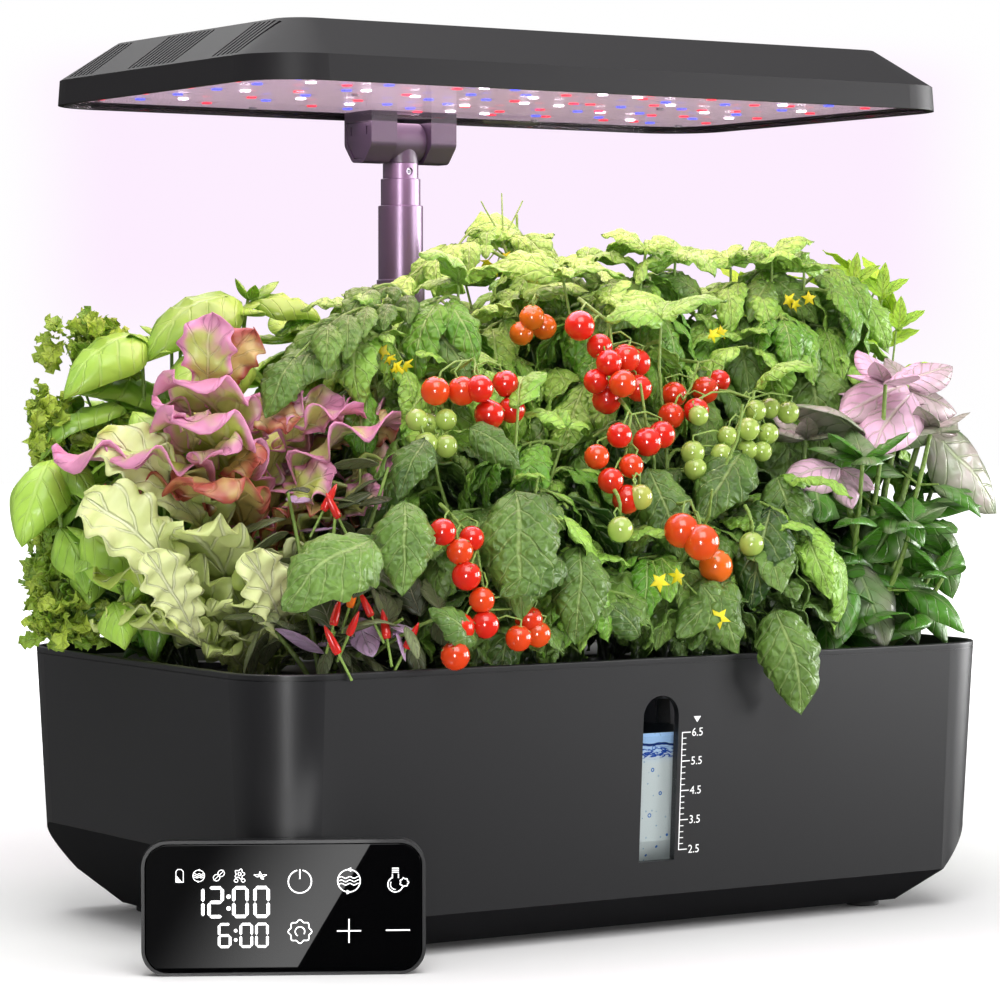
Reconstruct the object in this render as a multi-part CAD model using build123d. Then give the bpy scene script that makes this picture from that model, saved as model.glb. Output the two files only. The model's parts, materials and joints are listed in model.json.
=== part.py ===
from build123d import *
import math
import os

# Countertop hydroponic garden: a water tank with a lift-out planting deck, twelve pods,
# a telescopic mast, a tilting grow lamp and a touch remote.
# Millimetres, +Z up. The origin is the centre of the tank on the table, +X runs along
# the tank's length, -Y is the front with the level window, and the mast is at the back.

# ---- tank ----
TANK_LENGTH = 380.0
TANK_DEPTH = 225.0
TANK_CORNER = 28.8
RIM_Z = 119.2
FOOT_HEIGHT = 3.0
FOOT_RADIUS = 7.5
FOOT_END_INSET = 9.3  # from where the undercut ends meet the bottom
FOOT_SIDE_INSET = 34.5  # from the tank's front and back
FOOT_CHAMFER = 0.5
TANK_WALL = 2.6
TANK_FLOOR = 3.0
TANK_DRAFT = 3.1  # degrees a side
END_RUN = 41.7  # how far inside the rim the undercut ends meet the bottom
END_SLOPE = 46.0  # degrees from the table
SIDE_CREASE_Z = 17.4  # where the front and back undercuts start
SIDE_SLOPE = 40.0  # degrees from the table
LIP_DROP = 2.3  # the line below the rim
LIP_LINE = 0.5
LIP_DEPTH = 0.4
RIM_ROUND = 0.7
LEDGE_WIDTH = 3.4
LEDGE_HEIGHT = 3.0
LEDGE_NOTCH = 1.0  # clear of the window's flange on each side

# ---- level window ----
WINDOW_X = 4.2
WINDOW_WIDTH = 18.3
WINDOW_BASE_Z = 32.0
WINDOW_TOP_Z = 103.0
WINDOW_FLANGE = 2.0
WINDOW_FLANGE_THICK = 1.4
WINDOW_GAP = 0.05
SEAL_THICK = 0.8

# ---- planting deck ----
DECK_DROP = 11.0  # below the rim
DECK_THICK = 2.5
DECK_GAP = 0.5
DECK_LIP_WIDTH = 1.8
DECK_LIP_HEIGHT = 5.0
POD_COLUMN_COUNT = 4
POD_ROW_COUNT = 3
POD_END_MARGIN = 55.0  # from the tank's ends to the outer columns
POD_FRONT_MARGIN = 46.5  # from its front to the first row
POD_BACK_MARGIN = 62.5  # from its back to the last row
POD_HOLE_RADIUS = 18.0
COLLAR_WIDTH = 1.6
COLLAR_HEIGHT = 1.5
FILL_RADIUS = 13.0
CAP_GAP = 0.3
CAP_THICK = 2.0
CAP_SKIRT = 6.0
CAP_KNOB_RADIUS = 4.0
CAP_KNOB_HEIGHT = 5.0

# ---- pods ----
BASKET_DEPTH = 52.0
BASKET_FLANGE = 20.5
BASKET_TOP_RADIUS = 17.6
BASKET_BASE_RADIUS = 12.5
BASKET_WALL = 1.4
BASKET_SLOTS = 6
SLOT_WIDTH = 7.0
SLOT_TOP = 12.0  # below the flange
SLOT_FOOT = 8.0  # above the base
SPONGE_GAP = 0.3
SPONGE_HEIGHT = 44.0
STEM_RADIUS = 4.0
BUSH_BASE_Z = 123.0
BUSH_GAP = 1.0

# ---- pump ----
PUMP_BACK = 66.5  # from the tank's back to the pump's middle
PUMP_LENGTH = 44.0
PUMP_DEPTH = 32.0
PUMP_HEIGHT = 30.0
PUMP_ROUND = 3.0
CUP_RADIUS = 5.0
CUP_HEIGHT = 4.0
CUP_SPREAD_X = 30.0
CUP_SPREAD_Y = 18.0
GRILLE_THICK = 2.0
GRILLE_MARGIN = 4.0
GRILLE_SLOTS = 6
GRILLE_SLOT_WIDTH = 2.4
NOZZLE_HEIGHT = 10.0
NOZZLE_WALL = 1.2
NOZZLE_SINK = 2.0  # how far its bore runs into the pump
HOSE_BORE = 3.5
HOSE_WALL = 1.6
HOSE_GAP = 0.05
SPIGOT_LENGTH = 14.0

# ---- mast ----
MAST_X = 0.0
MAST_BACK = 19.2  # from the tank's back to the mast's axis
TUBE_DIAMETERS = (22.4, 20.9, 18.5, 16.6)  # outermost first
TUBE_WALLS = (0.7, 1.15, 0.9, 1.0)
TUBE_TOPS = (283.0, 317.5, 330.0, 337.3)
TUBE_LENGTHS = (173.0, 150.0, 145.0, 140.0)
TUBE_EDGE = 0.25
BASE_WIDTH = 44.0
BASE_DEPTH = 27.0
BASE_SHIFT = 0.6  # how far the base's middle lies in front of the mast's axis
BASE_HEIGHT = 30.0
BASE_ROUND = 4.0
BASE_COLLAR_RADIUS = 13.4
BASE_COLLAR_HEIGHT = 5.0
FIT_GAP = 0.05
INLET_Z = 127.5
INLET_X = 16.0
INLET_RADIUS = 4.6
INLET_LENGTH = 10.0
INLET_BORE = 2.8
INLET_PIN = 1.0
INLET_FLOOR = 1.0
BASE_SCREW_X = 16.5
BASE_SCREW_Y = 8.5
SCREW_RADIUS = 1.5
SCREW_HEAD_RADIUS = 3.0
SCREW_HEAD = 1.8
SCREW_BITE = 7.0

# ---- hinge ----
HINGE_Z = 347.0
BARREL_RADIUS = 9.0
PIN_RADIUS = 3.0
PIN_HEAD_RADIUS = 5.0
PIN_HEAD = 2.0
PIN_HEAD_GAP = 0.5
PIN_END_GAP = 0.3
NECK_PLUG = 16.0
NECK_SCREW_DROP = 4.0
NECK_SCREW_START = 2.0  # in front of the mast's axis
NECK_SCREW_SINK = 1.0  # its head below the tube's surface
NECK_SOCKET_DEPTH = 1.7
CHEEK_GAP = 18.6
CHEEK_WIDTH = 13.8
CHEEK_DEPTH = 24.6
CHEEK_FLAT = 10.0
CHEEK_DROP = 10.0  # below the hinge axis
CHEEK_ROUND = 8.0
CHEEK_SOFT = 4.0  # the roundings of its lower corners
BRACKET_PLATE = 3.0
CAP_RECESS = 2.2
CAP_RIM = 1.8
CAP_SINK = 0.5  # below the cheek's rim
CAP_FIT = 0.15
CAP_SLOT_WIDTH = 1.0
CAP_SLOT_HEIGHT = 4.0
CAP_SLOT_PITCH = 7.0
WASHER_THICK = 0.55
WASHER_RADIUS = 7.6
NECK_SCREW_RADIUS = 1.7

# ---- lamp ----
LAMP_LENGTH = 357.2
LAMP_DEPTH = 209.3
LAMP_CORNER = 28.8
LAMP_BACK = 18.95  # from the mast's axis to the lamp's back
LAMP_Z = 357.5
LAMP_BAND = 10.8
LAMP_BAND_INSET = 0.8
LAMP_HEIGHT = 27.3
LAMP_TOP_INSET = 23.9
LAMP_TOP_CORNER = 12.8
LAMP_WALL = 2.3
LAMP_ROOF = 2.2
LOUVRE_PITCH = 3.9
LOUVRE_WIDTH = 1.8
LOUVRE_SIDE_MARGIN = 39.65  # from the lamp's front and back to the outer groups' middles
LOUVRE_SIDE_COUNT = 6
LOUVRE_MIDDLE_COUNT = 11
LOUVRE_MARGIN = 1.6
BEZEL = 2.6
COVER_DROP = 0.4  # how far the cover lies inside the bezel's edge
COVER_THICK = 1.5
COVER_GAP = 0.2
SHOULDER = 3.6
BOSS_INSET = 3.0
BOARD_THICK = 1.6
BOARD_GAP = 0.5
BOARD_MARGIN = 1.2
CHIP_SIZE = 3.2
CHIP_HEIGHT = 0.7
CHIP_MARGIN = 7.0
BOARD_REAR_STRIP = 20.0  # no chips along the back
BRACKET_MARGIN = 2.0  # from the hinge bracket to the nearest chip
# The board's layout is drawn for half a lamp of LAYOUT_X by LAYOUT_Y and stretches with the lamp.
LAYOUT_X = 178.6
LAYOUT_Y = 104.65
# Each column of chips: its x, the y of its first chip (both from the lamp's centre), and its pitch.
WHITE_COLUMNS = (
    (-131, -57, 56), (-88, -30, 56), (-53, -69, 56), (-5, -34, 56), (10, -66, 62),
    (32, -61, 62), (72, -86, 56), (114, -58, 60), (146, -30, 56),
)
RED_COLUMNS = (
    (-161, -47, 41), (-110, -51, 41), (-61, -60, 41), (-1, -54, 41), (30, -75, 61),
    (39, -14, 41), (67, -68, 44), (104, -50, 40), (121, -54, 41), (158, -62, 41),
)
BLUE_COLUMNS = (
    (-146, -73, 35), (-96, -62, 35), (-38, -70, 35), (-16, -77, 32),
    (60, -43, 35), (91, -79, 33.5), (134, -66, 35),
)
BOARD_SCREWS = (
    (-158, -83), (3, -83), (158, -83), (-81, -9), (81, -9), (-158, 84), (-77, 89), (77, 89), (158, 84),
)
BOARD_SCREW_RADIUS = 1.8
BOARD_SCREW_HEAD = 1.0
TAB_X = 53.0
TAB_BACK = 28.5  # from the lamp's back
TAB_LENGTH = 33.0
TAB_WIDTH = 9.0
TAB_THICK = 1.2
TAB_END_BEVEL = 2.0
TAB_SIDE_BEVEL = 1.5

# ---- remote ----
REMOTE_WIDTH = 113.0
REMOTE_HEIGHT = 54.0
REMOTE_THICK = 9.6
REMOTE_CORNER = 10.5
REMOTE_YAW = 29.2  # degrees its face turns left of the tank's front
REMOTE_SLIDE = -3.0  # how far its middle lies along its face from the tank's corner
REMOTE_STAND_OFF = 0.3
REMOTE_WALL = 1.6
REMOTE_SHOULDER = 1.4  # the step that the glass lies on
GLASS_INSET = 1.3
GLASS_THICK = 1.5
GLASS_GAP = 0.1
GLASS_BEVEL = 0.5
REMOTE_BOARD_THICK = 1.2
REMOTE_BOARD_INSET = 5.0
REMOTE_ROUND = 1.5
CELL_RADIUS = 2.0
CELL_LENGTH = 44.0

# ---- derived ----
OVER = 1.0  # how far a cutter runs past what it cuts
DRAFT = math.tan(math.radians(TANK_DRAFT))
BASE_Z = FOOT_HEIGHT
FLOOR_Z = FOOT_HEIGHT + TANK_FLOOR
DECK_TOP = RIM_Z - DECK_DROP
DECK_BASE = DECK_TOP - DECK_THICK
COVER_Z = LAMP_Z + COVER_DROP
BOARD_Z = COVER_Z + COVER_THICK + CHIP_HEIGHT + BOARD_GAP
PUMP_Z = FLOOR_Z + CUP_HEIGHT
END_BASE_X = TANK_LENGTH / 2 - END_RUN
FOOT_X = END_BASE_X - FOOT_END_INSET
FOOT_Y = TANK_DEPTH / 2 - FOOT_SIDE_INSET
MAST_Y = TANK_DEPTH / 2 - MAST_BACK
BASE_Y = MAST_Y - BASE_SHIFT
LAMP_Y = MAST_Y + LAMP_BACK - LAMP_DEPTH / 2
PUMP_X, PUMP_Y = MAST_X, TANK_DEPTH / 2 - PUMP_BACK
POD_COLUMN_PITCH = (TANK_LENGTH - 2 * POD_END_MARGIN) / (POD_COLUMN_COUNT - 1)
POD_ROW_PITCH = (TANK_DEPTH - POD_FRONT_MARGIN - POD_BACK_MARGIN) / (POD_ROW_COUNT - 1)
POD_COLUMNS = [POD_END_MARGIN - TANK_LENGTH / 2 + n * POD_COLUMN_PITCH for n in range(POD_COLUMN_COUNT)]
POD_ROWS = [POD_FRONT_MARGIN - TANK_DEPTH / 2 + n * POD_ROW_PITCH for n in range(POD_ROW_COUNT)]
FILL_X, FILL_Y = MAST_X, POD_ROWS[0]
SPIGOT_RADIUS = HOSE_BORE - HOSE_GAP
CENTRE_MIN = (Align.CENTER, Align.CENTER, Align.MIN)
CENTRE_MAX = (Align.CENTER, Align.CENTER, Align.MAX)
BASE_SCREW_PLACES = [
    (MAST_X + sx * BASE_SCREW_X, BASE_Y + sy * BASE_SCREW_Y) for sx in (-1, 1) for sy in (-1, 1)
]

parts = {}


def rounded(length, depth, corner, z):
    """A rounded rectangle lying flat at height z."""
    return Pos(0, 0, z) * RectangleRounded(length, depth, corner)


def rod(radius, low, high, x=0.0, y=0.0):
    """A round bar standing at x, y from low to high."""
    return Pos(x, y, low) * Cylinder(radius, high - low, align=CENTRE_MIN)


def tube(outer, inner, low, high, x=0.0, y=0.0):
    return rod(outer, low, high, x, y) - rod(inner, low - OVER, high + OVER, x, y)


def cross_rod(radius, x0, x1, y, z):
    """A round bar lying along X."""
    return Pos(x0, y, z) * Rot(0, 90, 0) * Cylinder(radius, x1 - x0, align=CENTRE_MIN)


def solids_of(shapes):
    """One group of separate solids."""
    return Compound(children=[solid for shape in shapes for solid in shape.solids()])


# ---------------------------------------------------------------- tank


def tank_section(inset, z):
    """The tank's outline at height z, inset from its outer wall."""
    shrink = inset + DRAFT * (RIM_Z - z)
    return rounded(TANK_LENGTH - 2 * shrink, TANK_DEPTH - 2 * shrink, TANK_CORNER - shrink, z)


def tank_form(inset, low, high):
    return loft([tank_section(inset, low), tank_section(inset, high)], ruled=True)


def slope_cutter(point, outward, inset):
    """A block outside a sloped plane through a point, moved inwards by inset."""
    plane = Plane(origin=Vector(*point) - Vector(*outward) * inset, z_dir=outward)
    return plane * Box(3 * TANK_LENGTH, 3 * TANK_LENGTH, TANK_LENGTH, align=CENTRE_MIN)


def undercuts(inset):
    """The four cutters that slope the tank's ends and chamfer its front and back."""
    end, side = math.radians(END_SLOPE), math.radians(SIDE_SLOPE)
    side_y = TANK_DEPTH / 2 - DRAFT * (RIM_Z - SIDE_CREASE_Z)
    cutters = []
    for sign in (-1, 1):
        end_out = (sign * math.sin(end), 0, -math.cos(end))
        side_out = (0, sign * math.sin(side), -math.cos(side))
        cutters.append(slope_cutter((sign * END_BASE_X, 0, BASE_Z), end_out, inset))
        cutters.append(slope_cutter((0, sign * side_y, SIDE_CREASE_Z), side_out, inset))
    return cutters


FRONT_WALL_Z = (WINDOW_BASE_Z + WINDOW_TOP_Z) / 2
FRONT_WALL = Plane(
    origin=(WINDOW_X, -TANK_DEPTH / 2 + DRAFT * (RIM_Z - FRONT_WALL_Z), FRONT_WALL_Z),
    x_dir=(1, 0, 0),
    z_dir=(0, -math.cos(math.radians(TANK_DRAFT)), -math.sin(math.radians(TANK_DRAFT))),
)
WALL_NORMAL = TANK_WALL * math.cos(math.radians(TANK_DRAFT))


def window_outline(grow):
    """Square at the bottom and round at the top, on the front wall's plane."""
    height = WINDOW_TOP_Z - WINDOW_BASE_Z
    radius = WINDOW_WIDTH / 2
    straight = height - radius
    body = Pos(0, -height / 2 - grow) * Rectangle(
        WINDOW_WIDTH + 2 * grow, straight + grow, align=(Align.CENTER, Align.MIN)
    )
    return body + Pos(0, height / 2 - radius) * Circle(radius + grow)


def window_slab(grow, outer, inner):
    """The window's outline between two depths behind the front wall's outer face."""
    return FRONT_WALL * Pos(0, 0, -inner) * extrude(window_outline(grow), inner - outer)


def make_tank():
    shell = tank_form(0, BASE_Z, RIM_Z)
    for cutter in undercuts(0):
        shell -= cutter
    cavity = tank_form(TANK_WALL, FLOOR_Z, RIM_Z + OVER)
    for cutter in undercuts(TANK_WALL):
        cavity -= cutter
    shell -= cavity
    line_top = RIM_Z - LIP_DROP
    line_low = line_top - LIP_LINE
    line = tank_form(-OVER, line_low, line_top) - tank_form(LIP_DEPTH, line_low, line_top)
    ledge_low = DECK_BASE - LEDGE_HEIGHT
    ledge = tank_form(TANK_WALL / 2, ledge_low, DECK_BASE) - tank_form(
        TANK_WALL + LEDGE_WIDTH, ledge_low - OVER, DECK_BASE + OVER
    )
    notch_width = WINDOW_WIDTH + 2 * (WINDOW_FLANGE + LEDGE_NOTCH)
    ledge -= Pos(WINDOW_X, -TANK_DEPTH / 2 + TANK_WALL, DECK_BASE) * Box(
        notch_width, 4 * LEDGE_WIDTH, 4 * LEDGE_HEIGHT, align=(Align.CENTER, Align.CENTER, Align.CENTER)
    )
    shell = shell - line + ledge
    shell = fillet(shell.edges().group_by(Axis.Z)[-1], RIM_ROUND)
    shell -= window_slab(0, -OVER, TANK_WALL + OVER)
    return shell


parts["tank_shell"] = make_tank()
parts["level_window"] = window_slab(-WINDOW_GAP, 0, WALL_NORMAL + SEAL_THICK) + window_slab(
    WINDOW_FLANGE, WALL_NORMAL + SEAL_THICK, WALL_NORMAL + SEAL_THICK + WINDOW_FLANGE_THICK
)
parts["window_seal"] = window_slab(WINDOW_FLANGE, WALL_NORMAL, WALL_NORMAL + SEAL_THICK) - window_slab(
    WINDOW_GAP, WALL_NORMAL - OVER, WALL_NORMAL + SEAL_THICK + OVER
)
parts["rubber_feet"] = solids_of(
    chamfer(rod(FOOT_RADIUS, 0, BASE_Z, sx * FOOT_X, sy * FOOT_Y).edges().group_by(Axis.Z)[0], FOOT_CHAMFER)
    for sx in (-1, 1)
    for sy in (-1, 1)
)


# ---------------------------------------------------------------- pump


def make_pump():
    body = Pos(PUMP_X, PUMP_Y, PUMP_Z) * Box(PUMP_LENGTH, PUMP_DEPTH, PUMP_HEIGHT, align=CENTRE_MIN)
    body = fillet(body.edges().filter_by(Axis.Z), PUMP_ROUND)
    grille_bed = Pos(PUMP_X, PUMP_Y - PUMP_DEPTH / 2, PUMP_Z + PUMP_HEIGHT / 2) * Box(
        PUMP_LENGTH - 2 * GRILLE_MARGIN, 2 * GRILLE_THICK, PUMP_HEIGHT - 2 * GRILLE_MARGIN
    )
    top = PUMP_Z + PUMP_HEIGHT
    body = body - grille_bed + rod(SPIGOT_RADIUS, top, top + NOZZLE_HEIGHT, PUMP_X, PUMP_Y)
    bore = SPIGOT_RADIUS - NOZZLE_WALL
    return body - rod(bore, top - NOZZLE_SINK, top + NOZZLE_HEIGHT + OVER, PUMP_X, PUMP_Y)


def make_grille():
    width = PUMP_LENGTH - 2 * GRILLE_MARGIN - 2 * FIT_GAP
    height = PUMP_HEIGHT - 2 * GRILLE_MARGIN - 2 * FIT_GAP
    centre = Pos(PUMP_X, PUMP_Y - PUMP_DEPTH / 2 + GRILLE_THICK / 2, PUMP_Z + PUMP_HEIGHT / 2)
    plate = centre * Box(width, GRILLE_THICK, height)
    pitch = width / (GRILLE_SLOTS + 1)
    for n in range(GRILLE_SLOTS):
        x = (n - (GRILLE_SLOTS - 1) / 2) * pitch
        plate -= centre * Pos(x, 0, 0) * Box(GRILLE_SLOT_WIDTH, 2 * GRILLE_THICK, height - 2 * GRILLE_MARGIN)
    return plate


parts["pump_body"] = make_pump()
parts["pump_grille"] = make_grille()
parts["pump_suction_cups"] = solids_of(
    Pos(PUMP_X + sx * CUP_SPREAD_X / 2, PUMP_Y + sy * CUP_SPREAD_Y / 2, FLOOR_Z)
    * Cone(CUP_RADIUS, CUP_RADIUS / 2, CUP_HEIGHT, align=CENTRE_MIN)
    for sx in (-1, 1)
    for sy in (-1, 1)
)
parts["riser_hose"] = tube(
    HOSE_BORE + HOSE_WALL, HOSE_BORE, PUMP_Z + PUMP_HEIGHT, DECK_BASE - FIT_GAP, PUMP_X, PUMP_Y
)


# ---------------------------------------------------------------- planting deck


def make_deck():
    edge = TANK_WALL + DECK_GAP
    plate = tank_form(edge, DECK_BASE, DECK_TOP)
    lip = tank_form(edge, DECK_BASE, DECK_TOP + DECK_LIP_HEIGHT) - tank_form(
        edge + DECK_LIP_WIDTH, DECK_BASE - OVER, DECK_TOP + DECK_LIP_HEIGHT + OVER
    )
    deck = plate + lip
    deck += rod(SPIGOT_RADIUS, DECK_BASE - SPIGOT_LENGTH, DECK_BASE, PUMP_X, PUMP_Y)
    deck += rod(FILL_RADIUS + COLLAR_WIDTH, DECK_TOP, DECK_TOP + COLLAR_HEIGHT, FILL_X, FILL_Y)
    for x in POD_COLUMNS:
        for y in POD_ROWS:
            deck += rod(POD_HOLE_RADIUS + COLLAR_WIDTH, DECK_TOP, DECK_TOP + COLLAR_HEIGHT, x, y)
    for x in POD_COLUMNS:
        for y in POD_ROWS:
            deck -= rod(POD_HOLE_RADIUS, DECK_BASE - OVER, DECK_TOP + COLLAR_HEIGHT + OVER, x, y)
    deck -= rod(FILL_RADIUS, DECK_BASE - OVER, DECK_TOP + COLLAR_HEIGHT + OVER, FILL_X, FILL_Y)
    for x, y in BASE_SCREW_PLACES:
        deck -= rod(SCREW_RADIUS + FIT_GAP, DECK_BASE - OVER, DECK_TOP + OVER, x, y)
    return deck


def make_fill_cap():
    seat = DECK_TOP + COLLAR_HEIGHT
    cap = rod(FILL_RADIUS + COLLAR_WIDTH, seat, seat + CAP_THICK, FILL_X, FILL_Y)
    cap += rod(FILL_RADIUS - CAP_GAP, seat - CAP_SKIRT, seat, FILL_X, FILL_Y)
    cap -= rod(FILL_RADIUS - CAP_GAP - COLLAR_WIDTH, seat - CAP_SKIRT - OVER, seat, FILL_X, FILL_Y)
    top = seat + CAP_THICK
    return cap + rod(CAP_KNOB_RADIUS, top, top + CAP_KNOB_HEIGHT, FILL_X, FILL_Y)


def make_mast_base():
    block = Pos(MAST_X, BASE_Y, DECK_TOP) * Box(BASE_WIDTH, BASE_DEPTH, BASE_HEIGHT, align=CENTRE_MIN)
    block = fillet(block.edges().filter_by(Axis.Z), BASE_ROUND)
    block = fillet(block.edges().group_by(Axis.Z)[-1], BASE_ROUND / 2)
    top = DECK_TOP + BASE_HEIGHT
    block += rod(BASE_COLLAR_RADIUS, top, top + BASE_COLLAR_HEIGHT, MAST_X, MAST_Y)
    bore_low, bore_high = TUBE_TOPS[0] - TUBE_LENGTHS[0], top + BASE_COLLAR_HEIGHT + OVER
    block -= rod(TUBE_DIAMETERS[0] / 2 + FIT_GAP, bore_low, bore_high, MAST_X, MAST_Y)
    back = BASE_Y + BASE_DEPTH / 2
    block -= Pos(MAST_X + INLET_X, back, INLET_Z) * Rot(90, 0, 0) * Cylinder(
        INLET_RADIUS, INLET_LENGTH, align=CENTRE_MIN
    )
    for x, y in BASE_SCREW_PLACES:
        block -= rod(SCREW_RADIUS, DECK_TOP - OVER, DECK_TOP + SCREW_BITE + OVER, x, y)
    return block


def make_inlet():
    back = BASE_Y + BASE_DEPTH / 2
    at = Pos(MAST_X + INLET_X, back, INLET_Z) * Rot(90, 0, 0)
    body = at * Cylinder(INLET_RADIUS - FIT_GAP, INLET_LENGTH, align=CENTRE_MIN)
    body -= at * Cylinder(INLET_BORE, INLET_LENGTH - INLET_FLOOR, align=CENTRE_MIN)
    pin = Cylinder(INLET_PIN, INLET_LENGTH - INLET_FLOOR, align=CENTRE_MIN)
    return body + at * Pos(0, 0, INLET_FLOOR) * pin


def base_screw(x, y):
    head = rod(SCREW_HEAD_RADIUS, DECK_BASE - SCREW_HEAD, DECK_BASE, x, y)
    return head + rod(SCREW_RADIUS - FIT_GAP, DECK_BASE, DECK_TOP + SCREW_BITE, x, y)


parts["planting_deck"] = make_deck()
parts["fill_cap"] = make_fill_cap()
parts["mast_base"] = make_mast_base()
parts["power_inlet"] = make_inlet()
parts["mast_base_screws"] = solids_of(base_screw(x, y) for x, y in BASE_SCREW_PLACES)


# ---------------------------------------------------------------- pods


def make_basket():
    """A net basket hanging from z = 0, its flange above."""
    cup = Pos(0, 0, -BASKET_DEPTH) * Cone(
        BASKET_BASE_RADIUS, BASKET_TOP_RADIUS, BASKET_DEPTH, align=CENTRE_MIN
    )
    cup += rod(BASKET_FLANGE, 0, BASKET_WALL)
    hollow = Pos(0, 0, -BASKET_DEPTH + BASKET_WALL) * Cone(
        BASKET_BASE_RADIUS - BASKET_WALL, BASKET_TOP_RADIUS - BASKET_WALL, BASKET_DEPTH, align=CENTRE_MIN
    )
    cup -= hollow
    low, high = -BASKET_DEPTH + SLOT_FOOT, -SLOT_TOP
    slot = Pos(0, 0, low) * Box(
        BASKET_TOP_RADIUS + OVER, SLOT_WIDTH, high - low, align=(Align.MIN, Align.CENTER, Align.MIN)
    )
    for n in range(BASKET_SLOTS):
        cup -= Rot(0, 0, (n + 0.5) * 360 / BASKET_SLOTS) * slot
    return cup


BASKET = make_basket()
POD_SEAT = DECK_TOP + COLLAR_HEIGHT
SPONGE_FOOT = POD_SEAT - BASKET_DEPTH + BASKET_WALL
SPONGE_TOP = SPONGE_FOOT + SPONGE_HEIGHT
# The bushes meet halfway between their pods, and the outer ones reach past the tank.
LEFT_REACH = 87.0
RIGHT_REACH = 95.4
FRONT_REACH = 62.0
BACK_REACH = 90.5
BUSH_HEIGHT = 180.0
BUSH_CORNER = 0.3  # of the shorter side
# a plant's habit: its spread, as a share of its widest, at shares of its height
ROUND = ((0.0, 0.6), (0.3, 0.92), (0.65, 1.0), (1.0, 0.45))
VASE = ((0.0, 0.55), (0.4, 0.85), (0.75, 1.0), (1.0, 0.6))
LOW = ((0.0, 0.85), (0.3, 1.0), (0.6, 0.85), (1.0, 0.35))
TALL = ((0.0, 0.8), (0.35, 1.0), (0.7, 0.92), (1.0, 0.42))
# each bush, column by column from the front row back: the shares of its room that it fills to the left,
# right, front and back of its pod, the share of the full height that it grows to, and its habit
BUSHES = (
    (
        (0.37, 0.76, 0.74, 1.0, 0.46, ROUND),  # ornamental pepper
        (0.74, 1.0, 1.0, 1.0, 0.75, VASE),  # lettuce
        (1.0, 0.73, 1.0, 0.69, 0.9, ROUND),  # basil and parsley
    ),
    (
        (1.0, 1.0, 0.81, 1.0, 0.61, LOW),  # tomato
        (1.0, 1.0, 1.0, 1.0, 0.84, TALL),  # tomato and red lettuce
        (1.0, 1.0, 1.0, 0.69, 0.9, TALL),  # tomato and basil
    ),
    (
        (1.0, 1.0, 0.87, 1.0, 0.63, LOW),  # tomato
        (1.0, 1.0, 1.0, 1.0, 0.92, TALL),  # tomato
        (1.0, 1.0, 1.0, 1.0, 0.98, TALL),  # tomato
    ),
    (
        (0.71, 0.84, 0.81, 1.0, 0.67, ROUND),  # tinted basil
        (1.0, 0.71, 1.0, 1.0, 0.87, TALL),  # tomato
        (0.58, 1.0, 1.0, 0.69, 0.92, VASE),  # mint
    ),
)
MAST_CLEAR = 23.5


def halfway(places, before, after):
    """The edges between neighbouring places, with the outer reaches at both ends."""
    inner = [(a + b) / 2 for a, b in zip(places, places[1:])]
    return [places[0] - before, *inner, places[-1] + after]


COLUMN_EDGES = halfway(POD_COLUMNS, LEFT_REACH, RIGHT_REACH)
ROW_EDGES = halfway(POD_ROWS, FRONT_REACH, BACK_REACH)


def bush_section(x0, x1, y0, y1, share, z):
    """The bush's outline at height z, shrunk to a share about the middle."""
    width, depth = (x1 - x0) * share, (y1 - y0) * share
    outline = RectangleRounded(width, depth, BUSH_CORNER * min(width, depth))
    return Pos((x0 + x1) / 2, (y0 + y1) / 2, z) * outline


def make_plant(column, row):
    """A grow sponge, a stem and the leaves as one plain closed form."""
    x, y = POD_COLUMNS[column], POD_ROWS[row]
    left, right, front, back, grown, habit = BUSHES[column][row]
    half = BUSH_GAP / 2
    x0, x1 = COLUMN_EDGES[column] + half, COLUMN_EDGES[column + 1] - half
    y0, y1 = ROW_EDGES[row] + half, ROW_EDGES[row + 1] - half
    if column == 0:
        x0 -= half
    if column == len(POD_COLUMNS) - 1:
        x1 += half
    if row == len(POD_ROWS) - 1:
        y1 += half
        x1 = min(x1, MAST_X - MAST_CLEAR) if column == 1 else x1
        x0 = max(x0, MAST_X + MAST_CLEAR) if column == 2 else x0
    x0, x1 = x - left * (x - x0), x + right * (x1 - x)
    y0, y1 = y - front * (y - y0), y + back * (y1 - y)
    height = grown * BUSH_HEIGHT
    sections = [bush_section(x0, x1, y0, y1, spread, BUSH_BASE_Z + share * height) for share, spread in habit]
    bush = loft(sections, ruled=True)
    sponge_radius = BASKET_BASE_RADIUS - BASKET_WALL - SPONGE_GAP
    sponge = rod(sponge_radius, SPONGE_FOOT, SPONGE_TOP, x, y)
    stem = rod(STEM_RADIUS, SPONGE_TOP, BUSH_BASE_Z, x, y)
    return solids_of([sponge, stem, bush])


for column in range(len(POD_COLUMNS)):
    for row in range(len(POD_ROWS)):
        name = f"{column + 1}{row + 1}"
        parts[f"basket_{name}"] = Pos(POD_COLUMNS[column], POD_ROWS[row], POD_SEAT) * BASKET
        parts[f"plant_{name}"] = make_plant(column, row)


# ---------------------------------------------------------------- mast

TUBE_NAMES = ("mast_tube_outer", "mast_tube_lower", "mast_tube_upper", "mast_tube_top")
for name, diameter, wall, top, length in zip(TUBE_NAMES, TUBE_DIAMETERS, TUBE_WALLS, TUBE_TOPS, TUBE_LENGTHS):
    pipe = tube(diameter / 2, diameter / 2 - wall, top - length, top, MAST_X, MAST_Y)
    rim = pipe.edges().group_by(Axis.Z)[-1].sort_by(SortBy.LENGTH)[-1]
    parts[name] = chamfer(rim, TUBE_EDGE)

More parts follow.
